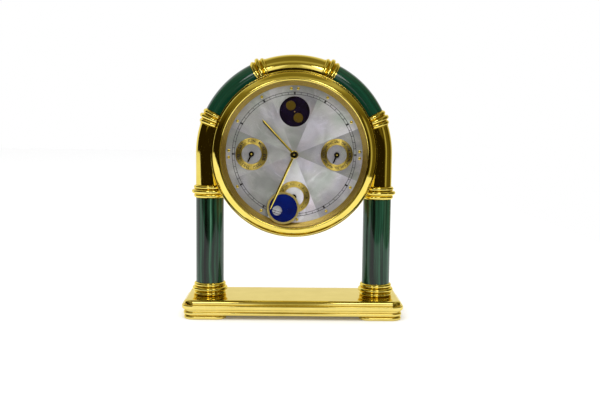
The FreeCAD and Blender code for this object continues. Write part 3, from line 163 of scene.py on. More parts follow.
def swept(profile, half_x, half_y, corner):
    """A section of (inset, height) points run round a plate with rounded corners."""
    bm = bmesh.new()
    run_x = half_x - corner
    run_y = half_y - corner
    points = [bm.verts.new((-run_x * MM, (inset - half_y) * MM, height * MM)) for inset, height in profile]
    section = points + [bm.edges.new(pair) for pair in zip(points, points[1:])]
    corners = ((run_x, -run_y), (run_x, run_y), (-run_x, run_y), (-run_x, -run_y))
    runs = ((2 * run_x, 0), (0, 2 * run_y), (-2 * run_x, 0), (0, -2 * run_y))
    for (x, y), (run_along, run_up) in zip(corners, runs):
        for centre, run, angle, count in (((0, 0, 0), (run_along * MM, run_up * MM, 0), 0, 1),
                                          ((x * MM, y * MM, 0), (0, 0, 0), math.pi / 2, 12)):
            made = bmesh.ops.spin(bm, geom=section, cent=centre, axis=(0, 0, 1), dvec=run, angle=angle,
                                  steps=count, use_duplicate=False)
            section = made["geom_last"]
    bmesh.ops.remove_doubles(bm, verts=bm.verts, dist=MERGE)
    return bm


def ring_of(bm, radius, x=0, y=0, z=0, count=48):
    """A loop of edges round a point."""
    made = bmesh.ops.create_circle(bm, radius=radius * MM, segments=count, cap_ends=False,
                                   matrix=shift(x, y, z))
    return list({edge for vert in made["verts"] for edge in vert.link_edges})


def frame_of(bm, half_x, half_y, y):
    """A rectangular loop of edges about a point of the Y axis."""
    spots = ((-1, -1), (1, -1), (1, 1), (-1, 1))
    verts = [bm.verts.new(Vector((a * half_x, y + b * half_y, 0)) * MM) for a, b in spots]
    return [bm.edges.new((verts[i], verts[(i + 1) % 4])) for i in range(4)]


def made_of(made, kind):
    """The new vertices, edges or faces that an operator reports."""
    return [part for part in made["geom"] if isinstance(part, kind)]


def push(bm, made, by):
    """Moves the new vertices that an operator reports."""
    bmesh.ops.translate(bm, verts=made_of(made, bmesh.types.BMVert), vec=Vector(by) * MM)


def slab(bm, loops, depth):
    """Fills between an outline and the holes in it, and gives the sheet a thickness towards -Z."""
    faces = made_of(bmesh.ops.triangle_fill(bm, use_beauty=True, edges=loops), bmesh.types.BMFace)
    push(bm, bmesh.ops.extrude_face_region(bm, geom=faces, use_keep_orig=True), (0, 0, -depth))


def bevel(bm, edges, width, segments):
    bmesh.ops.bevel(bm, geom=edges, offset=width * MM, offset_type="OFFSET", segments=segments, profile=0.5,
                    affect="EDGES", material=-1)


def block(bm, size, spot, turn=0, rounding=0):
    """A box of a size about a point, turned about Z, with its edges broken."""
    place = shift(*spot) @ Matrix.Rotation(turn, 4, "Z")
    made = bmesh.ops.create_cube(bm, size=1, matrix=place @ Matrix.Diagonal((*(Vector(size) * MM), 1)))
    if rounding:
        bevel(bm, list({edge for vert in made["verts"] for edge in vert.link_edges}), rounding, 2)


def cut(bm, spot, normal, clear=False):
    """Cuts every face along a plane, and clears what lies behind it if wanted."""
    everything = list(bm.verts) + list(bm.edges) + list(bm.faces)
    bmesh.ops.bisect_plane(bm, geom=everything, dist=MERGE, plane_co=spot, plane_no=normal, clear_inner=clear)


def soften(bm, width, segments=2, least=40):
    """Breaks every edge that turns by more than some degrees."""
    edges = [edge for edge in bm.edges if len(edge.link_faces) == 2
             and edge.calc_face_angle() > math.radians(least)]
    bevel(bm, edges, width, segments)


def joined(*parts):
    """Several meshes as one."""
    whole = bmesh.new()
    for part in parts:
        mesh = bpy.data.meshes.new("part")
        part.to_mesh(mesh)
        part.free()
        whole.from_mesh(mesh)
        bpy.data.meshes.remove(mesh)
    return whole


def moved(bm, place):
    bmesh.ops.transform(bm, matrix=place, verts=bm.verts)
    return bm


def shift(x=0, y=0, z=0):
    return Matrix.Translation(Vector((x, y, z)) * MM)


def clockwise(degrees):
    return Matrix.Rotation(-math.radians(degrees), 4, "Z")


STAND_UP = shift(z=HEAD_Z) @ Matrix.Rotation(math.pi / 2, 4, "X")
BACKWARDS = Matrix.Rotation(math.pi, 4, "Y")


def at_dial(bm, x=0, y=0, z=0, points=0):
    """Sets a piece that is drawn about the dial's Z axis on a point of the clock head."""
    return moved(bm, STAND_UP @ shift(x, y, z) @ clockwise(points))


def bent(bm, start):
    """Bends a straight tube along Z into the arch, from a height on; X points away from the centre."""
    for vert in bm.verts:
        past = vert.co.z / MM - start
        if past > 0:
            turn = past / ARCH_R
            reach = ARCH_R + vert.co.x / MM
            vert.co.x = (reach * math.cos(turn) - ARCH_R) * MM
            vert.co.z = (start + reach * math.sin(turn)) * MM
    return bm


def on_arch(bm, from_top):
    """Sets a stretch of tube, straight along Z and centred on its middle, on the arch."""
    for vert in bm.verts:
        turn = math.radians(from_top) - vert.co.z / MM / ARCH_R
        reach = ARCH_R + vert.co.x / MM
        vert.co.x = reach * math.sin(turn) * MM
        vert.co.z = (HEAD_Z + reach * math.cos(turn)) * MM
    return bm


def placed(name, data):
    """A new object in the scene."""
    thing = bpy.data.objects.new(name, data)
    bpy.context.scene.collection.objects.link(thing)
    return thing


def solid(name, bm, finish):
    """An object of a mesh and its finish."""
    mesh = bpy.data.meshes.new(name)
    bm.to_mesh(mesh)
    bm.free()
    mesh.materials.append(finish)
    return placed(name, mesh)


def piece(name, bm, finish, *nodes, body="stand", slot="gilt_brass"):
    """Makes a finished piece, which rides on a body and stands for some of the frame's nodes."""
    bmesh.ops.recalc_face_normals(bm, faces=bm.faces)
    thing = solid(name, bm, finish)
    thing.data.shade_smooth()
    thing.data.set_sharp_from_angle(angle=SHARP)
    weight = thing.modifiers.new("flat_faces_stay_flat", "WEIGHTED_NORMAL")
    weight.keep_sharp = True
    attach(thing, body)
    if nodes:
        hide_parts(*nodes)
    return thing


# --- material helpers
def hue(code):
    """An sRGB hex colour as linear RGBA."""
    parts = [int(code[i:i + 2], 16) / 255 for i in (0, 2, 4)]
    return (*[part / 12.92 if part <= 0.04045 else ((part + 0.055) / 1.055) ** 2.4 for part in parts], 1)


def add(tree, kind, inputs=None, out=0, stops=(), **settings):
    """Adds a node and gives one of its outputs, or all of them where out is None.

    An input that is a socket is linked, and any other is set.
    """
    made = tree.nodes.new("ShaderNode" + kind)
    for name, value in settings.items():
        setattr(made, name, value)
    for name, value in (inputs or {}).items():
        if isinstance(value, bpy.types.NodeSocket):
            tree.links.new(value, made.inputs[name])
        else:
            made.inputs[name].default_value = value
    if stops:
        points = made.color_ramp.elements
        while len(points) < len(stops):
            points.new(1)
        for point, (position, code) in zip(points, stops):
            point.position = position
            point.color = hue(code)
    return made.outputs if out is None else made.outputs[out]


def new_material(name):
    """An empty material, and add for its nodes."""
    made = bpy.data.materials.new(name)
    made.use_nodes = True
    made.node_tree.nodes.clear()
    return made, partial(add, made.node_tree)


def per_mm(size):
    """The scale of a texture whose features are so many millimetres."""
    return 1 / (size * MM)


# --- materials
def polished_gilt(name, rough, tints, wave):
    """Brass, buffed to a mirror and gold plated: faint waves of the buff and wiping hairlines.

    Real hairlines are too fine to show, and these are as coarse as they need to be.
    """
    made, node = new_material(name)
    place = node("TexCoord", out="Object")
    patches = node("TexNoise", {"Vector": place, "Scale": per_mm(14), "Detail": 3.0})
    tint = node("ValToRGB", {"Fac": patches}, stops=((0.3, tints[0]), (0.7, tints[1])))
    wiped = node("Mapping", {"Vector": place, "Rotation": (0.1, 0.2, 0.1), "Scale": (0.06, 1, 1)})
    hairs = node("TexNoise", {"Vector": wiped, "Scale": per_mm(0.35), "Detail": 4.0})
    dull = node("MapRange", {"Value": hairs, "From Min": 0.35, "From Max": 0.75, "To Min": rough[0],
                             "To Max": rough[1]})
    waves = node("TexNoise", {"Vector": place, "Scale": per_mm(6), "Detail": 1.5})
    relief = node("Bump", {"Height": waves, "Strength": wave, "Distance": 0.4 * MM})
    shader = node("BsdfPrincipled", {"Base Color": tint, "Metallic": 1.0, "Roughness": dull,
                                     "Specular Tint": hue("F7F0D0"), "Normal": relief})
    node("OutputMaterial", {"Surface": shader}, out=None)
    return made


def turned_gilt(name, tints, rough, spacing, depth, centre=(0.0, 0.0), shine=0.0):
    """Gilt brass with the circular lines of the lathe, which spread a light into a bow tie.

    Real lines are closer than a tenth of a millimetre, and these are as coarse as they need to be.
    """
    made, node = new_material(name)
    axis = Vector((centre[0], 0, HEAD_Z + centre[1])) * MM
    spoke = node("VectorMath", {0: node("TexCoord", out="Object"), 1: axis}, operation="SUBTRACT")
    flat = node("VectorMath", {0: spoke, 1: (1, 0, 1)}, operation="MULTIPLY")
    radius = node("VectorMath", {0: flat}, out="Value", operation="LENGTH")
    tangent = node("VectorMath", {0: flat}, operation="NORMALIZE")
    lines = node("TexNoise", {"W": radius, "Scale": per_mm(spacing), "Detail": 2.0}, noise_dimensions="1D")
    tint = node("ValToRGB", {"Fac": lines}, stops=((0.3, tints[0]), (0.7, tints[1])))
    dull = node("MapRange", {"Value": lines, "From Min": 0.3, "From Max": 0.7, "To Min": rough[0],
                             "To Max": rough[1]})
    relief = node("Bump", {"Height": lines, "Strength": 0.5, "Distance": depth * MM})
    shader = node("BsdfPrincipled", {"Base Color": tint, "Metallic": 1.0, "Roughness": dull,
                                     "Anisotropic": shine, "Tangent": tangent, "Normal": relief})
    node("OutputMaterial", {"Surface": shader}, out=None)
    return made


def malachite(name, contrast, *stops):
    """Malachite veneer, cut along its bands and lacquered: green stripes under a clear gloss.

    The attribute grain holds a point unrolled from the tube, with its z along the stone.
    """
    made, node = new_material(name)
    grain = node("Attribute", out="Vector", attribute_name="grain")
    sway = node("TexNoise", {"Vector": grain, "Scale": per_mm(40), "Detail": 1.0}, out="Color")
    offset = node("VectorMath", {0: sway, 1: (0.5, 0.5, 0.5)}, operation="SUBTRACT")
    drift = node("VectorMath", {0: offset, 1: (3 * MM, 3 * MM, 0)}, operation="MULTIPLY")
    swayed = node("VectorMath", {0: grain, 1: drift}, operation="ADD")
    stretched = node("Mapping", {"Vector": swayed, "Scale": (1, 1, 0.012)})
    broad = node("TexNoise", {"Vector": stretched, "Scale": per_mm(4.6), "Detail": 2.0, "Roughness": 0.5})
    fine = node("TexNoise", {"Vector": stretched, "Scale": per_mm(1.3), "Detail": 3.0})
    mixed = node("Mix", {"Factor": 0.45, "A": broad, "B": fine})
    spread = node("MapRange", {"Value": mixed, "From Min": 0.5 - contrast, "From Max": 0.5 + contrast})
    bands = node("ValToRGB", {"Fac": spread}, stops=stops)
    shader = node("BsdfPrincipled", {"Base Color": bands, "Roughness": 0.07, "IOR": 1.4})
    node("OutputMaterial", {"Surface": shader}, out=None)
    return made


def mother_of_pearl():
    """Mother-of-pearl, cut in thin leaves and polished: cloudy layers with a shifting lilac and green, which
    is a painted iridescent sheen.

    Each leaf has its own attributes: tone, how light it lies, and grain, its turned layers.
    """
    made, node = new_material("mother_of_pearl_polished")
    grain = node("Attribute", out="Vector", attribute_name="grain")
    tone = node("Attribute", out="Fac", attribute_name="tone")
    clouds = node("TexNoise", {"Vector": grain, "Scale": per_mm(17), "Detail": 3.0, "Roughness": 0.5,
                               "Distortion": 0.7})
    layered = node("Mapping", {"Vector": grain, "Scale": (0.35, 1.0, 1.0)})
    layers = node("TexNoise", {"Vector": layered, "Scale": per_mm(6.5), "Detail": 5.0, "Roughness": 0.62,
                               "Distortion": 1.1})
    streaks = node("MapRange", {"Value": layers, "From Min": 0.56, "From Max": 0.74, "To Max": 0.24})
    cloud = node("MapRange", {"Value": clouds, "From Min": 0.3, "From Max": 0.7, "To Min": -0.17,
                              "To Max": 0.17})
    light = node("Math", {0: tone, 1: cloud}, operation="ADD")
    light = node("Math", {0: light, 1: streaks}, operation="ADD")
    grey = node("ValToRGB", {"Fac": light}, stops=(
        (0.0, "6C6A67"), (0.25, "8A8784"), (0.5, "A6A3A0"), (0.75, "C4C1C2"), (1.0, "E6E4E6")))
    # Painted iridescent sheen: fixed green, white, lilac and pink tints multiplied into the colour.
    tints = node("TexNoise", {"Vector": grain, "Scale": per_mm(22), "Detail": 2.0})
    painted_iridescent_sheen = node("ValToRGB", {"Fac": tints}, stops=(
        (0.28, "E4F2E4"), (0.45, "F4F4F2"), (0.6, "F1EDFB"), (0.75, "FBE9F0")))
    colour = node("Mix", {"Factor": 0.8, "A": grey, "B": painted_iridescent_sheen}, out="Result", data_type="RGBA",
                  blend_type="MULTIPLY")
    shader = node("BsdfPrincipled", {"Base Color": colour, "Roughness": 0.32, "Coat Weight": 0.25,
                                     "Coat Roughness": 0.08, "Thin Film Thickness": 380.0,
                                     "Thin Film IOR": 1.6})
    node("OutputMaterial", {"Surface": shader}, out=None)
    return made


def clear_glass():
    """Mineral glass, ground flat and polished; shadow rays and scattered light go straight through."""
    made, node = new_material("mineral_glass_polished")
    wipe = node("TexNoise", {"Vector": node("TexCoord", out="Object"), "Scale": per_mm(20), "Detail": 4.0})
    dull = node("MapRange", {"Value": wipe, "To Min": 0.0, "To Max": 0.02})
    glass = node("BsdfPrincipled", {"Base Color": hue("FFFFFF"), "Roughness": dull, "IOR": 1.5,
                                    "Transmission Weight": 1.0})
    path = node("LightPath", out=None)
    scattered = node("Math", {0: path["Diffuse Depth"], 1: 1.0}, operation="MINIMUM")
    passing = node("Math", {0: path["Is Shadow Ray"], 1: scattered}, operation="MAXIMUM")
    shown = node("MixShader", {0: passing, 1: glass, 2: node("BsdfTransparent")})
    node("OutputMaterial", {"Surface": shown}, out=None)
    return made


def enamel(name, tints, patch, rough):
    """Coloured ink, lacquer or enamel: an even depth with a slight cloud in it."""
    made, node = new_material(name)
    place = node("TexCoord", out="Object")
    cloud = node("TexNoise", {"Vector": place, "Scale": per_mm(patch), "Detail": 4.0})
    tint = node("ValToRGB", {"Fac": cloud}, stops=((0.35, tints[0]), (0.65, tints[1])))
    shader = node("BsdfPrincipled", {"Base Color": tint, "Roughness": rough})
    node("OutputMaterial", {"Surface": shader}, out=None)
    return made


def worked_metal(name, tints, rough, grain, stretch=(1, 1, 1)):
    """A plain metal as machined or drawn: a slight change of tone, and cutter marks coarse enough to show."""
    made, node = new_material(name)
    space = node("Mapping", {"Vector": node("TexCoord", out="Object"), "Scale": stretch})
    lines = node("TexNoise", {"Vector": space, "Scale": per_mm(grain), "Detail": 4.0})
    tint = node("ValToRGB", {"Fac": lines}, stops=((0.3, tints[0]), (0.7, tints[1])))
    dull = node("MapRange", {"Value": lines, "From Min": 0.3, "From Max": 0.7, "To Min": rough[0],
                             "To Max": rough[1]})
    relief = node("Bump", {"Height": lines, "Strength": 0.3, "Distance": 0.01 * MM})
    shader = node("BsdfPrincipled", {"Base Color": tint, "Metallic": 1.0, "Roughness": dull,
                                     "Normal": relief})
    node("OutputMaterial", {"Surface": shader}, out=None)
    return made


def moulded_plastic(name, tints, rough, grain):
    """Injection-moulded plastic with the fine spark-eroded grain of its mould."""
    made, node = new_material(name)
    place = node("TexCoord", out="Object")
    pits = node("TexNoise", {"Vector": place, "Scale": per_mm(grain), "Detail": 2.0})
    patches = node("TexNoise", {"Vector": place, "Scale": per_mm(12), "Detail": 3.0})
    tint = node("ValToRGB", {"Fac": patches}, stops=((0.3, tints[0]), (0.7, tints[1])))
    dull = node("MapRange", {"Value": pits, "To Min": rough[0], "To Max": rough[1]})
    relief = node("Bump", {"Height": pits, "Strength": 0.4, "Distance": 0.03 * MM})
    shader = node("BsdfPrincipled", {"Base Color": tint, "Roughness": dull, "Normal": relief})
    node("OutputMaterial", {"Surface": shader}, out=None)
    return made


PALE_GOLD = ("E4CE62", "F0DB72")
# A mirror with a faint life in it: bright gold beside near black on arch, rings and bezel.
GILT = polished_gilt("gilt_brass_polished", (0.05, 0.1), PALE_GOLD, 0.05)
# A stiller mirror, a little paler: long clean lines of light along the base.
BASE_GILT = polished_gilt("gilt_brass_base", (0.03, 0.08), ("DEC96C", "E6D278"), 0.015)
# A hard flash on one bevel and dark on the other, which makes thin hands readable.
HAND_GILT = polished_gilt("gilt_brass_hands", (0.03, 0.07), PALE_GOLD, 0.0)
# A soft, browner ring that sets the pearl apart from the bright bezel.
SATIN = turned_gilt("gilt_brass_satin_turned", ("B49A4E", "D8BE70"), (0.26, 0.4), 0.22, 0.03)
# Fine circles and a broad sheen over the plain rear cover.
BACK_SATIN = turned_gilt("gilt_brass_back_turned", ("CDAE58", "E6C974"), (0.22, 0.34), 0.3, 0.03, shine=0.5)
# Grey and white leaves, cloudy, with a breath of lilac and green painted in as iridescent sheen.
PEARL = mother_of_pearl()
# Straight dark and light green stripes, sharp under the lacquer, up the columns.
COLUMN_STONE = malachite("malachite_column_polished", 0.15, (0.0, "060C07"), (0.2, "0E1B12"),
                         (0.42, "183122"), (0.62, "224733"), (0.82, "325C45"), (1.0, "5C8A70"))
# A deep, nearly even green along the arch, so that the highlights lead.
ARCH_STONE = malachite("malachite_arch_polished", 0.3, (0.0, "041109"), (0.35, "07271A"), (0.6, "0C3726"),
                       (1.0, "184F3A"))
# Almost nothing, but a faint second reflection over the dial.
GLASS = clear_glass()
# A matt near-black line that stays black from every side.
INK = enamel("printing_ink_black", ("15141A", "24222B"), 2.0, 0.5)
# A dim brownish black with a dull edge light on the small hands, and on the ring under the hand nut, where
# the black is painted reflection.
BLACKED = worked_metal("steel_blackened", ("14110F", "2A231D"), (0.25, 0.4), 0.3)
# The sky of the moon disc: a violet black with a wet depth.
NIGHT = enamel("enamel_night_blue", ("0C0716", "160C26"), 6.0, 0.12)
# Dull old gold moons that hardly shine on it.
MOON_GOLD = worked_metal("gilt_brass_matted", ("5C4C18", "7A6426"), (0.5, 0.65), 0.4)
# The one strong colour: a full, glossy blue.
BLUE = enamel("enamel_royal_blue", ("000C4B", "001662"), 9.0, 0.12)
# Yellow metal with cutter marks, seen only through gaps.
BRASS = worked_metal("brass_machined", ("A88B45", "C7AA5E"), (0.25, 0.4), 0.3, (1, 0.1, 1))
# Cool grey with lathe marks, for the long screws.
STEEL = worked_metal("steel_turned", ("8A8C8F", "B4B6B8"), (0.2, 0.35), 0.3, (1, 1, 0.1))
# Screw heads a shade redder and brighter than the cover that they hold.
SCREW_GILT = worked_metal("gilt_steel_screw", ("C9A44E", "E3C26B"), (0.16, 0.28), 0.2, (1, 0.1, 1))
# Buttons that catch a small light on their domes.
CORRECTOR = worked_metal("brass_corrector_turned", ("B8964A", "D9BA66"), (0.15, 0.28), 0.2, (1, 0.1, 1))
# The warm red-brown of a wound coil.
COPPER = worked_metal("copper_wire_enamelled", ("8C4A25", "C27A45"), (0.25, 0.4), 0.15, (0.1, 1, 1))
# A grainy soft black for lid, knob and movement cover.
BLACK = moulded_plastic("abs_black_moulded", ("121214", "1C1C1F"), (0.38, 0.6), 0.25)
# The dark green of a circuit board with its weave.
BOARD = moulded_plastic("glass_fibre_board_green", ("0E3B22", "15502F"), (0.3, 0.5), 0.5)
# The smooth sheen of the cell's sleeve, seen when the lid is off.
SLEEVE = moulded_plastic("pvc_battery_sleeve", ("1A1A1E", "2C2C33"), (0.2, 0.32), 1.5)


# --- base
def base_section():
    """Bead, neck, roll, groove and slab, as (inset, height) from the bottom up."""
    bead = 1.0
    roll = 1.7
    roll_top = 0.9
    slab_edge = 3.0
    section = [(4.6, FOOT_TOP), (4.6, FOOT_TOP + 0.6)]
    section += arc((2.1, 3.9), bead, 270, 180, 8) + arc((2.1, 4.4), bead, 180, 90, 8)
    section += [(2.5, 5.4), (2.5, 6.6)]
    section += arc((roll, 8.3), roll, 270, 180, 12) + arc((roll_top, 9.4), roll_top, 180, 90, 8)
    section += [(2.6, 10.3), (2.6, 11.0)]
    return section + arc((4.4, BASE_TOP - slab_edge), slab_edge, 172, 90, 16)


def filled(bm):
    """Closes each open rim of a shell with a flat face."""
    bmesh.ops.edgeloop_fill(bm, edges=[edge for edge in bm.edges if edge.is_boundary])
    return bm


def rim_at(bm, height):
    """The open edges that lie at a height."""
    return [edge for edge in bm.edges if edge.is_boundary
            and all(abs(vert.co.z / MM - height) < 0.01 for vert in edge.verts)]


def sink(bm, edges, rise):
    """Draws a loop of edges up or down into a wall, and returns its new rim."""
    made = bmesh.ops.extrude_edge_only(bm, edges=edges)
    push(bm, made, (0, 0, rise))
    return made_of(made, bmesh.types.BMEdge)


def make_base():
    """The moulded plate with its two screw recesses, and the foot plates."""
    size = high("base_plate")
    plate = swept(base_section(), size.x, size.y, PLATE_CORNER)
    bmesh.ops.edgeloop_fill(plate, edges=rim_at(plate, BASE_TOP))
    recesses = [edge for x in (-COLUMN_X, COLUMN_X) for edge in ring_of(plate, SCREW_RECESS, x, z=FOOT_TOP)]
    bmesh.ops.triangle_fill(plate, use_beauty=True, edges=rim_at(plate, FOOT_TOP))
    bmesh.ops.edgeloop_fill(plate, edges=sink(plate, recesses, RECESS_DEPTH))
    piece("base_plate_moulded", plate, BASE_GILT, "base_plate")
    section = arc((FOOT_EDGE, FOOT_EDGE), FOOT_EDGE, 270, 180, 6)
    section += arc((FOOT_EDGE, FOOT_TOP - FOOT_EDGE), FOOT_EDGE, 180, 90, 6)
    for side, _ in SIDES:
        node = f"foot_{side}"
        foot = swept(section, half_size(node).x, half_size(node).y, FOOT_CORNER)
        holes = []
        for height in (FOOT_TOP, 0):
            hole = ring_of(foot, SCREW_RECESS, z=height)
            bmesh.ops.triangle_fill(foot, use_beauty=True, edges=rim_at(foot, height) + hole)
            holes += hole
        bmesh.ops.bridge_loops(foot, edges=holes)
        piece(f"{node}_plate", moved(foot, shift(middle(node).x, middle(node).y)), BASE_GILT, node)


# --- columns and arch
def coil(radius, height, wire, count):
    """One ring of wire that stands out of the sleeve."""
    centre = (radius - wire, height)
    reach = math.degrees(math.acos(min(max((SLEEVE_R - centre[0]) / wire, 0), 1)))
    return arc(centre, wire, -reach, reach, count)


def ring_section(foot, top, wire, radii):
    """Rings of wire on a sleeve, from the foot up, closed along the bore."""
    section = [(SCREW_BORE, top), (SCREW_BORE, foot), (SLEEVE_R, foot)]
    for radius, height in zip(radii, steps(foot + wire, top - wire, len(radii) - 1)):
        section += coil(radius, height, wire, 18)
    return section + [(SLEEVE_R, top)]


def stone(bm, start):
    """Gives a stone its grain: points unrolled from the tube, along Z before it is bent."""
    layer = bm.verts.layers.float_vector.new("grain")
    for vert in bm.verts:
        vert[layer] = Vector((vert.co.x, vert.co.y, vert.co.z + start * MM))
    return bm


def tube(bottom, top, count, bore=CORE_ROOM, easing=0.25):
    """A straight stretch of tube with its ends slightly broken."""
    inner = [(bore, height) for height in steps(top, bottom, count)]
    outer = [(COLUMN_R, height) for height in steps(bottom + easing, top - easing, count)]
    ends = COLUMN_R - easing
    return turned(inner + [(ends, bottom)] + outer + [(ends, top)], 72, closed=True)


def make_columns():
    collar = (11.8, 12.7, 11.4)
    capital = (11.4, 13.0, 11.6)
    for side, sign in SIDES:
        place = shift(sign * COLUMN_X)
        rings = turned(ring_section(BASE_TOP, COLUMN_FOOT, 1.5, collar), 120, closed=True)
        piece(f"collar_rings_{side}", moved(rings, place), GILT, f"base_collar_{side}")
        shaft = stone(tube(COLUMN_FOOT, CAPITAL_FOOT, 8, bore=SCREW_BORE), 40 * sign)
        piece(f"column_{side}_veneered", moved(shaft, place), COLUMN_STONE, f"column_{side}",
              slot="malachite")
        rings = turned(ring_section(CAPITAL_FOOT, LEG_FOOT, 1.48, capital), 120, closed=True)
        piece(f"capital_rings_{side}", moved(rings, place), GILT, f"capital_{side}")


def make_arch():
    tie_turn = math.degrees(TIE_LENGTH / 2 / ARCH_R)
    sweep = math.radians(90 - LOW_TIE - tie_turn) * ARCH_R
    for side, sign in SIDES:
        leg = bent(tube(LEG_FOOT, HEAD_Z + sweep, 36), HEAD_Z)
        moved(leg, Matrix.Diagonal((sign, 1, 1, 1)) @ shift(COLUMN_X))
        piece(f"leg_{side}_tube", leg, GILT, f"arch_leg_{side}")
        half = math.radians((LOW_TIE - HIGH_TIE) / 2 - tie_turn) * ARCH_R
        bend = on_arch(stone(tube(-half, half, 30), 200 + 90 * sign), sign * (LOW_TIE + HIGH_TIE) / 2)
        piece(f"stone_{side}_bend", bend, ARCH_STONE, f"arch_stone_{side}", slot="malachite")
    half = math.radians(HIGH_TIE - tie_turn) * ARCH_R
    piece("crown_tube", on_arch(tube(-half, half, 40), 0), GILT, "arch_crown")


def behind_bezel(bm):
    """Sets back what would stand in the way of the bezel's lip, and keeps clear of the drum."""
    for vert in bm.verts:
        x = vert.co.x / MM
        z = vert.co.z / MM - HEAD_Z
        radius = math.hypot(x, z)
        if radius < TIE_ROOM and -vert.co.y / MM > BEZEL_BACK - 0.2:
            vert.co.y = -(BEZEL_BACK - 0.2) * MM
        if radius < DRUM_R + HEAD_GAP:
            outwards = (DRUM_R + HEAD_GAP) / radius
            vert.co.x = x * outwards * MM
            vert.co.z = (HEAD_Z + z * outwards) * MM
    return bm


def make_ties():
    wire = 1.35
    pitch = 3.1
    half = TIE_LENGTH / 2
    section = [(CORE_ROOM, height) for height in steps(half, -half, 6)] + [(SLEEVE_R, -half)]
    for radius, height in ((11.3, -pitch), (12.4, 0), (11.3, pitch)):
        section += coil(radius, height, wire, 16)
    section.append((SLEEVE_R, half))
    for level, angle in (("lower", LOW_TIE), ("upper", HIGH_TIE)):
        for side, sign in SIDES:
            rings = behind_bezel(on_arch(turned(section, 120, closed=True), sign * angle))
            name = f"tie_{level}_{side}"
            piece(f"{name}_rings", rings, GILT, name)


# --- case
def make_bezel():
    """Domed ring on a thin lip, with a fine groove between them."""
    lip_front = BEZEL_BACK + 1.2
    lip_edge = 0.3
    groove = BEZEL_WALL - 0.3
    groove_front = lip_front + 0.5
    section = [(CRYSTAL_SEAT, BEZEL_BACK), (BEZEL_LIP, BEZEL_BACK)]
    section += arc((BEZEL_LIP - lip_edge, lip_front - lip_edge), lip_edge, 0, 90, 5)
    section += [(groove, lip_front), (groove, groove_front), (BEZEL_WALL, groove_front + 0.2)]
    # Outer shoulder, gentle slope, crest and inner rounding, each tangent to the next.
    shoulder = 5.6
    slope = 11.8
    crest = 1.4
    inner = 1.2
    crest_at = (BEZEL_INNER + inner, BEZEL_FRONT - crest)
    slope_at = along(crest_at, crest - slope, 65)
    section += arc(along(slope_at, slope - shoulder, 50), shoulder, 0, 50, 26)
    section += arc(slope_at, slope, 50, 65, 12)[1:]
    section += arc(crest_at, crest, 65, 90, 6)[1:]
    section += arc((BEZEL_INNER + inner, BEZEL_FRONT - inner), inner, 90, 180, 16)[1:]
    section += [(BEZEL_INNER, CRYSTAL_FRONT), (CRYSTAL_SEAT, CRYSTAL_FRONT)]
    piece("bezel_quarter_round", at_dial(turned(section, 640, closed=True)), GILT, "bezel")


def make_inner_ring():
    """The satin ring that slopes from the crystal in to the dial."""
    slope = BEZEL_INNER - DIAL_OPENING
    shoulder = BEZEL_BACK + 0.15
    section = [(RING_OUTER, DIAL_FACE), (DIAL_OPENING + 0.1, DIAL_FACE), (DIAL_OPENING, DIAL_FACE + 0.15)]
    section += [(BEZEL_INNER, DIAL_FACE + slope), (BEZEL_INNER, CRYSTAL_BACK), (CRYSTAL_R, CRYSTAL_BACK)]
    section += [(CRYSTAL_R, shoulder), (RING_OUTER, shoulder)]
    ring = turned(section, 256, closed=True)
    piece("inner_ring_satin", at_dial(ring), SATIN, "inner_ring", slot="satin_gilt")


def make_crystal():
    ease = 0.2
    section = [(0, CRYSTAL_BACK), (CRYSTAL_R - ease, CRYSTAL_BACK), (CRYSTAL_R, CRYSTAL_BACK + ease)]
    section += [(CRYSTAL_R, CRYSTAL_FRONT - ease), (CRYSTAL_R - ease, CRYSTAL_FRONT), (0, CRYSTAL_FRONT)]
    piece("crystal_flat", at_dial(turned(section, 192)), GLASS, "crystal", slot="mineral_glass")


def make_drum():
    """The cup behind the dial, its flared flange and its rolled rear rim."""
    bore = DRUM_R - 1.8
    rim = 0.4
    seat = DIAL_R + 0.2
    shelf = 8.2
    section = [(bore, DRUM_REAR), (DRUM_R - rim, DRUM_REAR)]
    section += arc((DRUM_R - rim, DRUM_REAR + rim), rim, 270, 360, 4)
    section += [(DRUM_R, 4.6), (DRUM_R + 2.0, 6.6), (DIAL_R + 3.6, BEZEL_BACK), (seat, BEZEL_BACK)]
    section += [(seat, shelf), (bore, shelf)]
    piece("case_drum_shell", at_dial(turned(section, 192, closed=True)), GILT, "case_drum")


def make_back():
    """Rear cover with the openings for battery, setting stem and correctors."""
    hatch = half_size("battery_hatch")
    hatch_y = on_dial("battery_hatch")[1]
    opening = (hatch.x + HATCH_PLAY, hatch.z + HATCH_PLAY, hatch_y)
    ledge_width = 1.0
    holes = {"setting_knob": 1.5, **{f"corrector_{name}": 1.65 for name in CORRECTORS}}
    back = bmesh.new()
    loops = ring_of(back, DRUM_R, count=160) + frame_of(back, *opening)
    for node, radius in holes.items():
        loops += ring_of(back, radius, *on_dial(node), count=24)
    slab(back, loops, 1.6)
    soften(back, 0.15)
    ledge = bmesh.new()
    loops = frame_of(ledge, *opening) + frame_of(ledge, hatch.x - ledge_width, hatch.z - ledge_width, hatch_y)
    slab(ledge, loops, 0.8)
    cover = moved(joined(back, ledge), shift(z=BACK_INSIDE))
    piece("case_back_cover", at_dial(cover), BACK_SATIN, "case_back")


def make_hatch():
    """Battery lid with a broken edge, a plug behind it and five grip ribs."""
    half = half_size("battery_hatch")
    x, y = on_dial("battery_hatch")
    thick = 0.8
    plug = 2.6
    lid = bmesh.new()
    block(lid, (2 * half.x, 2 * half.z, thick), (x, y, BACK_OUTSIDE + thick / 2), rounding=0.2)
    block(lid, (2 * half.x - plug, 2 * half.z - plug, thick), (x, y, BACK_INSIDE - thick / 2))
    for i in range(5):
        block(lid, (0.7, 9.0, 0.5), (half.x - 5 - 1.4 * i, y, BACK_OUTSIDE - 0.1), rounding=0.15)
    piece("battery_hatch_lid", at_dial(lid), BLACK, "battery_hatch", body="hatch", slot="moulded_black")


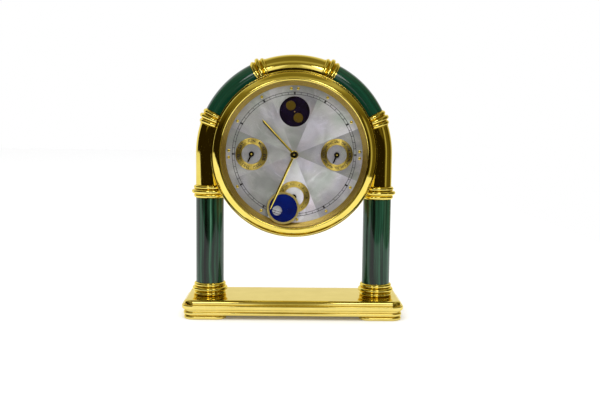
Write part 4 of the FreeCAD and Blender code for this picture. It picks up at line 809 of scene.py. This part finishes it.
def slotted_head(radius, height, slot):
    """A pan head with a screwdriver slot, its foot on z = 0."""
    wall = height * 0.55
    crown = height - wall
    section = [(0, 0), (radius, 0), (radius, wall)] + arc((radius - crown, wall), crown, 0, 90, 5)
    half = turned(section + [(0, height)], 48)
    cut(half, (0, slot / 2 * MM, 0), (0, 1, 0), clear=True)
    other = filled(half).copy()
    bmesh.ops.rotate(other, verts=other.verts, cent=(0, 0, 0), matrix=Matrix.Rotation(math.pi, 3, "Z"))
    web = bmesh.new()
    block(web, (2 * radius * 0.97, slot, height * 0.4), (0, 0, height * 0.2))
    return joined(half, other, web)


def make_back_screws():
    circle = 43.6
    heads = []
    for i, angle in enumerate((45, 135, 225, 315)):
        x, y = along((0, 0), circle, 90 - angle)
        turn = Matrix.Rotation(math.radians(25 + 50 * i), 4, "Z")
        heads.append(moved(slotted_head(2.4, 1.2, 0.6), shift(x, y, BACK_OUTSIDE) @ BACKWARDS @ turn))
    piece("back_screw_heads", at_dial(joined(*heads)), SCREW_GILT, "back_screws", slot="gilt_screw")


def make_knob():
    """The setting knob, with flutes and a raised rim round its hollow."""
    back, front = levels("setting_knob")
    height = front - back
    flutes = 18
    knob = bmesh.new()
    rim = ring_of(knob, half_size("setting_knob").x - 0.3, count=flutes * 8)
    for vert in knob.verts:
        vert.co *= 1 + 0.045 * math.cos(flutes * math.atan2(vert.co.y, vert.co.x))
    slab(knob, rim, height)
    soften(knob, 0.35, 3)
    hollow = turned([(3.2, 0), (3.2, 0.25), (2.6, 0.25), (2.3, 0), (3.2, 0)], 48)
    grip = at_dial(moved(joined(knob, hollow), BACKWARDS), *on_dial("setting_knob"), back)
    piece("setting_knob_fluted", grip, BLACK, "setting_knob", body="setting", slot="moulded_black")


def make_correctors():
    """Buttons with a collar inside the cover and a pin into the movement."""
    dome = 0.4
    stem = 1.6
    collar = 2.4
    pin = 0.9
    inside = BACK_INSIDE + 0.75
    for name in CORRECTORS:
        node = f"corrector_{name}"
        tip, end = levels(node)
        section = [(0, tip)] + arc((stem - dome, tip + dome), dome, 270, 360, 5)
        section += [(stem, BACK_INSIDE), (collar, BACK_INSIDE), (collar, inside), (pin, inside), (pin, end)]
        button = at_dial(turned(section + [(0, end)], 40), *on_dial(node))
        piece(f"{node}_button", button, CORRECTOR, node, body=f"{name}_corrector", slot="corrector_brass")


# --- dial
# How light each pearl leaf lies, how that changes across it, and how its layers run, clockwise from the
# leaf at twelve.
LEAF_TONES = (0.38, 0.56, 0.36, 0.56, 0.80, 0.37, 0.38, 0.46)
LEAF_SLOPES = (-0.24, 0.18, 0.06, -0.05, 0.02, 0.08, -0.06, 0.06)
LEAF_TURNS = (75, 20, 5, 35, 80, 130, 100, 150)
LEAF_ANGLE = 45
LEAF_WIDTH = math.sin(math.radians(LEAF_ANGLE / 2))
SMALL_DIALS = {"day": (-SMALL_DIAL, 0), "month": (SMALL_DIAL, 0), "date": (0, -SMALL_DIAL)}


def make_pearl():
    """Eight leaves of mother-of-pearl, with the holes for arbors and moon."""
    arbor_hole = 2.2
    small_hole = 1.2
    sheet = bmesh.new()
    loops = ring_of(sheet, DIAL_R - 0.2, count=192)
    loops += ring_of(sheet, WINDOW_R, y=SMALL_DIAL, count=96)
    loops += ring_of(sheet, arbor_hole, count=32)
    for x, y in SMALL_DIALS.values():
        loops += ring_of(sheet, small_hole, x, y, count=24)
    bmesh.ops.triangle_fill(sheet, use_beauty=True, edges=loops)
    for i in range(4):
        turn = math.radians(LEAF_ANGLE * (i + 0.5))
        cut(sheet, (0, 0, 0), (math.cos(turn), -math.sin(turn), 0))
    sunk = bmesh.ops.extrude_face_region(sheet, geom=list(sheet.faces), use_keep_orig=True)
    push(sheet, sunk, (0, 0, PEARL_BACK - DIAL_FACE))
    thing = piece("dial_pearl_leaves", at_dial(sheet, z=DIAL_FACE), PEARL, "dial_pearl",
                  slot="mother_of_pearl")
    paint_leaves(thing.data)


def paint_leaves(mesh):
    """Writes each leaf's tone and turned grain on its corners, so that they end at the joints."""
    tone = mesh.attributes.new("tone", "FLOAT", "CORNER")
    grain = mesh.attributes.new("grain", "FLOAT_VECTOR", "CORNER")
    head = Vector((0, 0, HEAD_Z * MM))
    for polygon in mesh.polygons:
        centre = polygon.center - head
        leaf = round(math.degrees(math.atan2(centre.x, centre.z)) / LEAF_ANGLE) % 8
        turn = Matrix.Rotation(math.radians(LEAF_TURNS[leaf]), 3, "Y")
        heading = math.radians(LEAF_ANGLE * leaf)
        for corner in polygon.loop_indices:
            spot = mesh.vertices[mesh.loops[corner].vertex_index].co - head
            across = (spot.x * math.cos(heading) - spot.z * math.sin(heading)) / (DIAL_R * MM * LEAF_WIDTH)
            tone.data[corner].value = LEAF_TONES[leaf] + LEAF_SLOPES[leaf] * across
            spot = turn @ spot
            grain.data[corner].vector = (spot.x, spot.z, 0.37 * leaf)


def make_track():
    """Printed minute track: two circles, sixty strokes and twelve hour blocks."""
    inner = 41.9
    outer = 43.6
    line = 0.17
    film = 0.015
    reach = (inner + outer) / 2
    parts = []
    for radius in (inner, outer):
        section = [(radius - line, 0), (radius + line, 0), (radius + line, film), (radius - line, film)]
        parts.append(turned(section, 240, closed=True))
    for minute in range(60):
        wide, extra = (1.25, 0.6) if minute % 5 == 0 else (0.32, 0)
        stroke = bmesh.new()
        x, y = along((0, 0), reach, 90 - 6 * minute)
        block(stroke, (wide, outer - inner + extra, film), (x, y, film / 2), -math.radians(6 * minute))
        parts.append(stroke)
    piece("minute_track_print", at_dial(joined(*parts), z=DIAL_FACE + 0.002), INK, slot="blackened_hand")


def make_markers():
    """Gilt cabochon dots, in pairs at the quarters."""
    circle = 46.0
    dots = []
    for hour in range(12):
        for across in ((-2.4, 2.4) if hour % 3 == 0 else (0,)):
            dot = turned([(0, 0)] + arc((0, 0), 1.0, 0, 90, 8), 24)
            moved(dot, Matrix.Diagonal((1.05, 1.05, 0.4, 1)))
            dots.append(moved(dot, clockwise(30 * hour) @ shift(across, circle, 0)))
    piece("hour_dots", at_dial(joined(*dots), z=DIAL_FACE), HAND_GILT, "hour_markers")


def lettering(words, size):
    """Flat words about the origin, as a mesh."""
    curve = bpy.data.curves.new("lettering", "FONT")
    curve.body = words
    curve.size = size * MM
    curve.align_x = "CENTER"
    curve.align_y = "CENTER"
    curve.resolution_u = 2
    curve.extrude = 0.01 * MM
    curve.offset = 0.04 * MM
    holder = placed("lettering", curve)
    mesh = bpy.data.meshes.new_from_object(holder)
    bpy.data.objects.remove(holder)
    bpy.data.curves.remove(curve)
    bm = bmesh.new()
    bm.from_mesh(mesh)
    bpy.data.meshes.remove(mesh)
    return bm


# What each chapter ring says, and the height of its letters.
MARKS = {
    "day": (("SUN", "MON", "TUE", "WED", "THU", "FRI", "SAT"), 2.9),
    "month": (("JAN", "FEB", "MAR", "APR", "MAY", "JUN", "JUL", "AUG", "SEP", "OCT", "NOV", "DEC"), 2.05),
    "date": ([str(day) if day % 2 else "." for day in range(1, 32)], 2.0),
}


def make_small_dials():
    """Chapter rings with turned faces and blackened engraving."""
    edge = 0.25
    shoulder = RING_FACE - DIAL_FACE - edge
    section = [(SMALL_INNER, 0), (SMALL_INNER, shoulder)]
    section += arc((SMALL_INNER + edge, shoulder), edge, 180, 90, 4)
    section += arc((SMALL_OUTER - edge, shoulder), edge, 90, 0, 4) + [(SMALL_OUTER, 0)]
    for name, (x, y) in SMALL_DIALS.items():
        # Bright above and below, dark at the sides: the bow tie of a turned ring.
        face = turned_gilt(f"gilt_brass_{name}_ring_turned", ("D8BA54", "F2D974"), (0.26, 0.36), 0.25, 0.01,
                           (x, y), 1.0)
        ring = at_dial(turned(section, 96, closed=True), x, y, DIAL_FACE)
        piece(f"{name}_ring_turned", ring, face, f"{name}_ring", slot="engraved_gilt")
        marks, size = MARKS[name]
        words = []
        for i, mark in enumerate(marks):
            letters = moved(lettering(mark, size), shift(y=(SMALL_INNER + SMALL_OUTER) / 2))
            words.append(moved(letters, clockwise(360 * i / len(marks))))
        words = at_dial(joined(*words), x, y, RING_FACE + 0.01)
        piece(f"{name}_ring_engraving", words, INK, slot="blackened_hand")


def make_moon():
    """The two moons let into the night disc, and the disc's pivot."""
    face = levels("moon_inlays")[1]
    moon = 3.4
    reach = 5.0
    section = [(0, -0.2), (moon, -0.2), (moon, -0.06), (moon - 0.06, 0), (0, 0)]
    moons = joined(*[moved(turned(section, 48), shift(y=y)) for y in (reach, -reach)])
    piece("moon_discs", at_dial(moons, 0, SMALL_DIAL, face, -32.0), MOON_GOLD, "moon_inlays", body="moon",
          slot="moon_gilt")
    pin = turned([(0, 0.25), (0.3, 0.22), (0.55, 0.0), (0.55, -0.3), (0, -0.3)], 24)
    piece("moon_pivot", at_dial(pin, 0, SMALL_DIAL, face), BRASS, body="moon", slot="plain_brass")


def make_cover():
    """The fallen window cover: a gilt ring round a blue disc with a round hole."""
    fall = math.radians(191.15)
    tilt = math.radians(1.2)
    lean = Matrix.Rotation(tilt, 4, Vector((math.cos(fall), -math.sin(fall), 0)))
    centre = middle("moon_cover_ring")
    place = Matrix.Translation(centre * MM) @ Matrix.Rotation(math.pi / 2, 4, "X") @ lean
    half = 0.45
    edge = 0.15
    sight = 9.85
    outer = 11.45
    section = [(sight, -half), (outer - edge, -half), (outer, -half + edge)]
    section += arc(((sight + outer) / 2, 0.05), (outer - sight) / 2, 0, 180, 10)
    section = [(radius, min(height, half)) for radius, height in section]
    # A softly lit gold rim, light all the way round the blue: rough turned gold whose tint, paler than the
    # other gilt, is painted light.
    finish = turned_gilt("gilt_brass_cover_ring_painted_light", ("EBCF66", "FCEB9C"), (0.3, 0.42), 0.3, 0.02,
                         on_dial("moon_cover_ring"))
    piece("cover_ring_turned", moved(turned(section, 96, closed=True), place), finish, "moon_cover_ring")
    disc = bmesh.new()
    slab(disc, ring_of(disc, sight + 0.05, count=96) + ring_of(disc, 3.45, -4.2, -1.8, count=48), 0.5)
    soften(disc, 0.06, least=70)
    piece("cover_disc_enamelled", moved(disc, place @ shift(z=0.25)), BLUE, "moon_cover_disc",
          slot="lapis_blue")


# --- hands
def bar(stations, rise, edge, flat):
    """A bar along Y from (distance, width) stations, with a flat back between two broad bevels."""
    bm = bmesh.new()
    start, width = stations[0]
    side = width / 2
    crest = flat * side
    spots = ((-side, 0), (-side, edge), (-crest, rise), (crest, rise), (side, edge), (side, 0))
    verts = [bm.verts.new(Vector((x, start, z)) * MM) for x, z in spots]
    edges = [bm.edges.new((verts[i], verts[(i + 1) % len(verts)])) for i in range(len(verts))]
    bm.faces.new(verts)
    for (last, last_width), (now, now_width) in zip(stations, stations[1:]):
        made = bmesh.ops.extrude_edge_only(bm, edges=edges)
        edges = made_of(made, bmesh.types.BMEdge)
        verts = made_of(made, bmesh.types.BMVert)
        bmesh.ops.scale(bm, vec=(now_width / last_width, 1, 1), verts=verts)
        push(bm, made, (0, now - last, 0))
    return filled(bm)


def make_hand(name, stations, flat, tilt, points, hub, finish, slot, x=0, y=0):
    """A hand with its hub, drawn to twelve and turned to where it points; its bevels tilt by degrees."""
    node = f"{name}_hand"
    back, front = levels(node)
    rise = front - back
    fall = max(width for _, width in stations) / 2 * (1 - flat) * math.tan(math.radians(tilt))
    blade = bar(stations, rise * 0.8, rise * 0.8 - fall, flat)
    whole = joined(blade, turned(hub(rise), 48))
    piece(f"{node}_bevelled", at_dial(whole, x, y, back, points), finish, node, body=name, slot=slot)


def long_hub(height):
    """A flat boss with a raised round rim."""
    bore = 1.02
    rim = 2.9
    bead = 0.28
    floor = height - 0.22
    section = [(bore, 0), (rim - 0.1, 0), (rim, 0.1)] + arc((rim - bead, height - bead), bead, 0, 180, 10)
    return section + [(rim - 2 * bead, floor), (bore, floor), (bore, 0)]


def small_hub(height):
    """A low dome on a straight edge."""
    rim = 1.9
    dome = 0.35
    section = [(0.0, 0), (rim - 0.1, 0), (rim, 0.1)]
    return section + arc((rim - dome, height - dome), dome, 0, 90, 6) + [(0.0, height)]


def make_hands():
    """Long hands of three or four stretches, and the small ones with their bright pins."""
    hour = ((1.9, 1.5), (3.5, 1.6), (31.0, 1.9), (32.7, 0.3))
    minute = ((1.9, 1.5), (3.5, 1.6), (24.0, 1.9), (41.0, 1.1), (42.2, 0.2))
    small = ((1.0, 0.9), (5.4, 1.05), (6.5, 0.2))
    make_hand("hour", hour, 0.2, 12, 316.8, long_hub, HAND_GILT, "gilt_hand")
    make_hand("minute", minute, 0.1, 17, 203.5, long_hub, HAND_GILT, "gilt_hand")
    for name, points in (("day", 204.0), ("month", 204.0), ("date", 214.0)):
        x, y = SMALL_DIALS[name]
        make_hand(name, small, 0.3, 20, points, small_hub, BLACKED, "blackened_hand", x, y)
        pin = turned([(0, -0.1), (0.75, -0.1)] + arc((0, -0.1), 0.75, 0, 90, 6)[1:], 24)
        at_dial(pin, x, y, levels(f"{name}_hand")[1])
        piece(f"{name}_hand_pin", pin, HAND_GILT, body=name, slot="gilt_hand")


def make_cap():
    """The nut that holds the long hands, and a blackened ring under it whose black is painted reflection of
    the dark room in the polished hub.
    """
    foot, tip = levels("hand_cap")
    dome = 0.6
    nut = 0.8
    shoulder = tip - foot - dome
    cap = turned([(0, 0), (nut, 0), (nut, shoulder)] + arc((0, shoulder), dome, 15, 90, 6), 48)
    piece("hand_cap_turned", at_dial(cap, z=foot), HAND_GILT, "hand_cap", body="minute", slot="gilt_hand")
    # Painted reflection: a black ring round the nut in place of the dark room that the polished hub mirrors.
    section = [(0.85, 0), (2.1, 0), (2.2, 0.08), (2.1, 0.16), (0.95, 0.22), (0.85, 0.2)]
    painted_dark_ring = at_dial(turned(section, 48, closed=True), z=foot)
    piece("hand_cap_painted_dark_ring", painted_dark_ring, BLACKED, body="minute", slot="blackened_hand")


# --- nodes that keep their CAD shape
CAD_FINISHES = (
    (BRASS, ("arch_core", "movement_plate", "dial_plate", "mounting_studs", "minute_arbor", "hour_wheel",
             "intermediate_wheel", "day_wheel", "date_wheel", "month_wheel")),
    (STEEL, ("column_screws",)), (NIGHT, ("moon_disc",)), (BLACK, ("movement_housing",)),
    (COPPER, ("motor_coil",)), (BOARD, ("circuit_board",)), (SLEEVE, ("battery",)),
)


def dress_nodes():
    for finish, nodes in CAD_FINISHES:
        for node in nodes:
            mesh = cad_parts[node].data
            mesh.materials.clear()
            mesh.materials.append(finish)


# --- stage, light and camera, in metres
TABLE_FRONT = 0.34
TABLE_RIGHT = 0.36
TABLE_REACH = 3.0


def make_floor():
    """White table: a matt paper that shows a soft shadow and is as bright as the backdrop."""
    made, node = new_material("white_paper_table")
    path = node("LightPath", out=None)
    seen = node("Math", {0: path["Is Glossy Ray"], 1: path["Is Transmission Ray"]}, operation="MAXIMUM")
    mirrored = node("Math", {0: seen, 1: 0.1}, operation="MULTIPLY")
    lift = node("Math", {0: path["Is Camera Ray"], 1: 0.08, 2: mirrored}, operation="MULTIPLY_ADD")
    paper = node("BsdfDiffuse", {"Color": hue("F2F2F2")})
    glow = node("Emission", {"Color": hue("FFFFFF"), "Strength": lift})
    node("OutputMaterial", {"Surface": node("AddShader", {0: paper, 1: glow})}, out=None)
    bm = bmesh.new()
    spots = ((-TABLE_REACH, -TABLE_FRONT), (TABLE_RIGHT, -TABLE_FRONT), (TABLE_RIGHT, TABLE_REACH),
             (-TABLE_REACH, TABLE_REACH))
    bm.faces.new([bm.verts.new((x, y, 0)) for x, y in spots])
    table = solid("table_top", bm, made)


# Patches that the metal mirrors: degrees round from the reader, their softness, how bright, degrees up
# and their softness.
PATCHES = (
    ((-12, -2), 1.5, 1.2, (8, 30), 1.5),       # left window
    ((2, 15), 1.5, 1.2, (5, 32), 1.5),         # right window
    ((-4, 4), 1, 0.55, (7, 31), 1.5),          # curtain between them
    ((-50, -10), 4, 0.25, (9, 35), 2),         # lit wall on the left
    ((14, 50), 4, 0.12, (5, 35), 2),           # lit wall on the right
    ((-118, -90), 2, 1.0, (-6, -1.5), 0.6),    # white card beside the clock
)


def make_world():
    """A white room open towards the camera: light walls and windows that the metal mirrors."""
    world = bpy.data.worlds.new("white_room")
    world.use_nodes = True
    world.node_tree.nodes.clear()
    node = partial(add, world.node_tree)
    axes = node("SeparateXYZ", {0: node("TexCoord", out="Generated")}, out=None)
    forward = node("Math", {0: axes["Y"], 1: -1.0}, operation="MULTIPLY")
    azimuth = node("Math", {0: axes["X"], 1: forward}, operation="ARCTAN2")
    degrees = node("Math", {0: azimuth, 1: 180 / math.pi}, operation="MULTIPLY")
    rise = node("Math", {0: axes["Z"]}, operation="ARCSINE")
    elevation = node("Math", {0: rise, 1: 180 / math.pi}, operation="MULTIPLY")

    def fade(value, start, end, low_level, high_level):
        """A level that changes smoothly as a value goes from start to end."""
        return node("MapRange", {"Value": value, "From Min": start, "From Max": end, "To Min": low_level,
                                 "To Max": high_level}, interpolation_type="SMOOTHSTEP")

    def band(value, start, end, soft, level=1.0):
        """A level between two values, with soft edges, and nothing outside them."""
        rising = fade(value, start - soft, start + soft, 0.0, level)
        falling = fade(value, end - soft, end + soft, 1.0, 0.0)
        return node("Math", {0: rising, 1: falling}, operation="MULTIPLY")

    # White walls behind and beside the clock, which grow dim towards the ceiling.
    walls = node("Math", {0: fade(degrees, -122, -114, 1.0, 0.0), 1: fade(degrees, 104, 158, 0.0, 1.0)},
                 operation="MAXIMUM")
    walls = node("Math", {0: walls, 1: fade(elevation, 30, 76, 1.0, 0.16)}, operation="MULTIPLY")
    # The dim side of the room, with one tall pane on the right.
    side = node("Math", {0: band(degrees, 60, 72, 3, 0.38), 1: band(degrees, 54, 106, 8, 0.1)},
                operation="ADD")
    dim = node("Math", {0: side, 1: fade(elevation, 20, 30, 1.0, 0.0), 2: 0.02}, operation="MULTIPLY_ADD")
    # A soft ceiling with a lighter strip across it.
    ceiling = node("Math", {0: fade(elevation, 10, 44, 0.0, 0.22), 1: band(elevation, 50, 64, 5, 0.27)},
                   operation="ADD")
    room = walls
    for level in (dim, ceiling):
        room = node("Math", {0: room, 1: level}, operation="MAXIMUM")
    for wide, soft, bright, tall, fall in PATCHES:
        patch = node("Math", {0: band(degrees, *wide, soft, bright), 1: band(elevation, *tall, fall)},
                     operation="MULTIPLY")
        room = node("Math", {0: room, 1: patch}, operation="MAXIMUM")
    # White stays white, and what is dim turns warm.
    green = node("Math", {0: room, 1: 1.1}, operation="POWER")
    blue = node("Math", {0: room, 1: 1.8}, operation="POWER")
    warm = node("CombineXYZ", {0: room, 1: green, 2: blue})
    # What lights matt things: even all round, but weak just over the table, so that gaps stay dark.
    even = node("Math", {0: 1.06, 1: band(elevation, 0.5, 14, 0.5, 0.96)}, operation="SUBTRACT")
    soft_light = node("CombineXYZ", {0: even, 1: even, 2: even})

    path = node("LightPath", out=None)
    glossy = node("Math", {0: path["Glossy Depth"], 1: path["Is Glossy Ray"]}, operation="ADD")
    mirrored = node("Math", {0: glossy, 1: 1.0}, operation="MINIMUM")
    scattered = node("Math", {0: path["Diffuse Depth"], 1: 1.0}, operation="MINIMUM")
    # The plain white backdrop shows only on rays that were neither mirrored nor scattered.
    bounced = node("Math", {0: mirrored, 1: scattered}, operation="MAXIMUM")
    straight = node("Math", {0: 1.0, 1: bounced}, operation="SUBTRACT")
    seen = node("Math", {0: path["Is Camera Ray"], 1: path["Is Transmission Ray"]}, operation="MAXIMUM")
    seen = node("Math", {0: seen, 1: straight}, operation="MULTIPLY")
    lit = node("Mix", {"Factor": scattered, "A": warm, "B": soft_light}, out=1, data_type="VECTOR")
    colour = node("Mix", {"Factor": seen, "A": lit, "B": (1, 1, 1)}, out=1, data_type="VECTOR")
    node("OutputWorld", {"Surface": node("Background", {"Color": colour})}, out=None)
    world.cycles.sampling_method = "NONE"
    bpy.context.scene.world = world


def area_lamp(name, width, height, watts, spot, aim, mirrored):
    """A rectangular lamp at a spot, facing a point, out of the picture and, if wanted, out of mirrors."""
    lamp = bpy.data.lights.new(name, "AREA")
    lamp.shape = "RECTANGLE"
    lamp.size = width
    lamp.size_y = height
    lamp.energy = watts
    heading = (Vector(aim) - Vector(spot)).to_track_quat("-Z", "Y")
    thing = placed(name, lamp)
    thing.matrix_world = Matrix.Translation(spot) @ heading.to_matrix().to_4x4()
    thing.visible_camera = False
    thing.visible_glossy = mirrored


def make_lamps():
    """One broad soft lamp overhead for the faint shadow, and two small ones for the glints."""
    dial = (0, 0, HEAD_Z * MM)
    area_lamp("overhead_softbox", 1.2, 0.8, 6.5, (-0.25, -0.35, 1.5), (0, 0, 0.1), mirrored=False)
    area_lamp("glint_left", 0.09, 0.06, 0.1, (-0.11, -0.26, 0.33), dial, mirrored=True)
    area_lamp("glint_right", 0.09, 0.06, 0.1, (0.09, -0.21, 0.30), dial, mirrored=True)


def make_camera():
    """Eye level with the dial's top, a little left of the middle, tipped down by under six degrees."""
    eye = Vector((-2.725, -560.5, 139.16)) * MM
    yaw = -0.013
    pitch = 0.101
    roll = 0.011
    right = Vector((math.cos(yaw), math.sin(yaw), 0))
    forward = Vector((-math.sin(yaw) * math.cos(pitch), math.cos(yaw) * math.cos(pitch), -math.sin(pitch)))
    up = right.cross(forward)
    across = math.cos(roll) * right + math.sin(roll) * up
    upward = math.cos(roll) * up - math.sin(roll) * right
    lens = bpy.data.cameras.new("eye")
    lens.lens = 46.93
    lens.sensor_width = 36
    camera = placed("eye", lens)
    camera.matrix_world = Matrix.Translation(eye) @ Matrix((across, upward, -forward)).transposed().to_4x4()
    bpy.context.scene.camera = camera


make_camera()
make_base()
make_columns()
make_arch()
make_ties()
make_bezel()
make_inner_ring()
make_crystal()
make_drum()
make_back()
make_hatch()
make_back_screws()
make_knob()
make_correctors()
make_pearl()
make_track()
make_markers()
make_small_dials()
make_moon()
make_cover()
make_hands()
make_cap()
dress_nodes()
make_floor()
make_world()
make_lamps()
bpy.context.scene.view_settings.view_transform = "Standard"
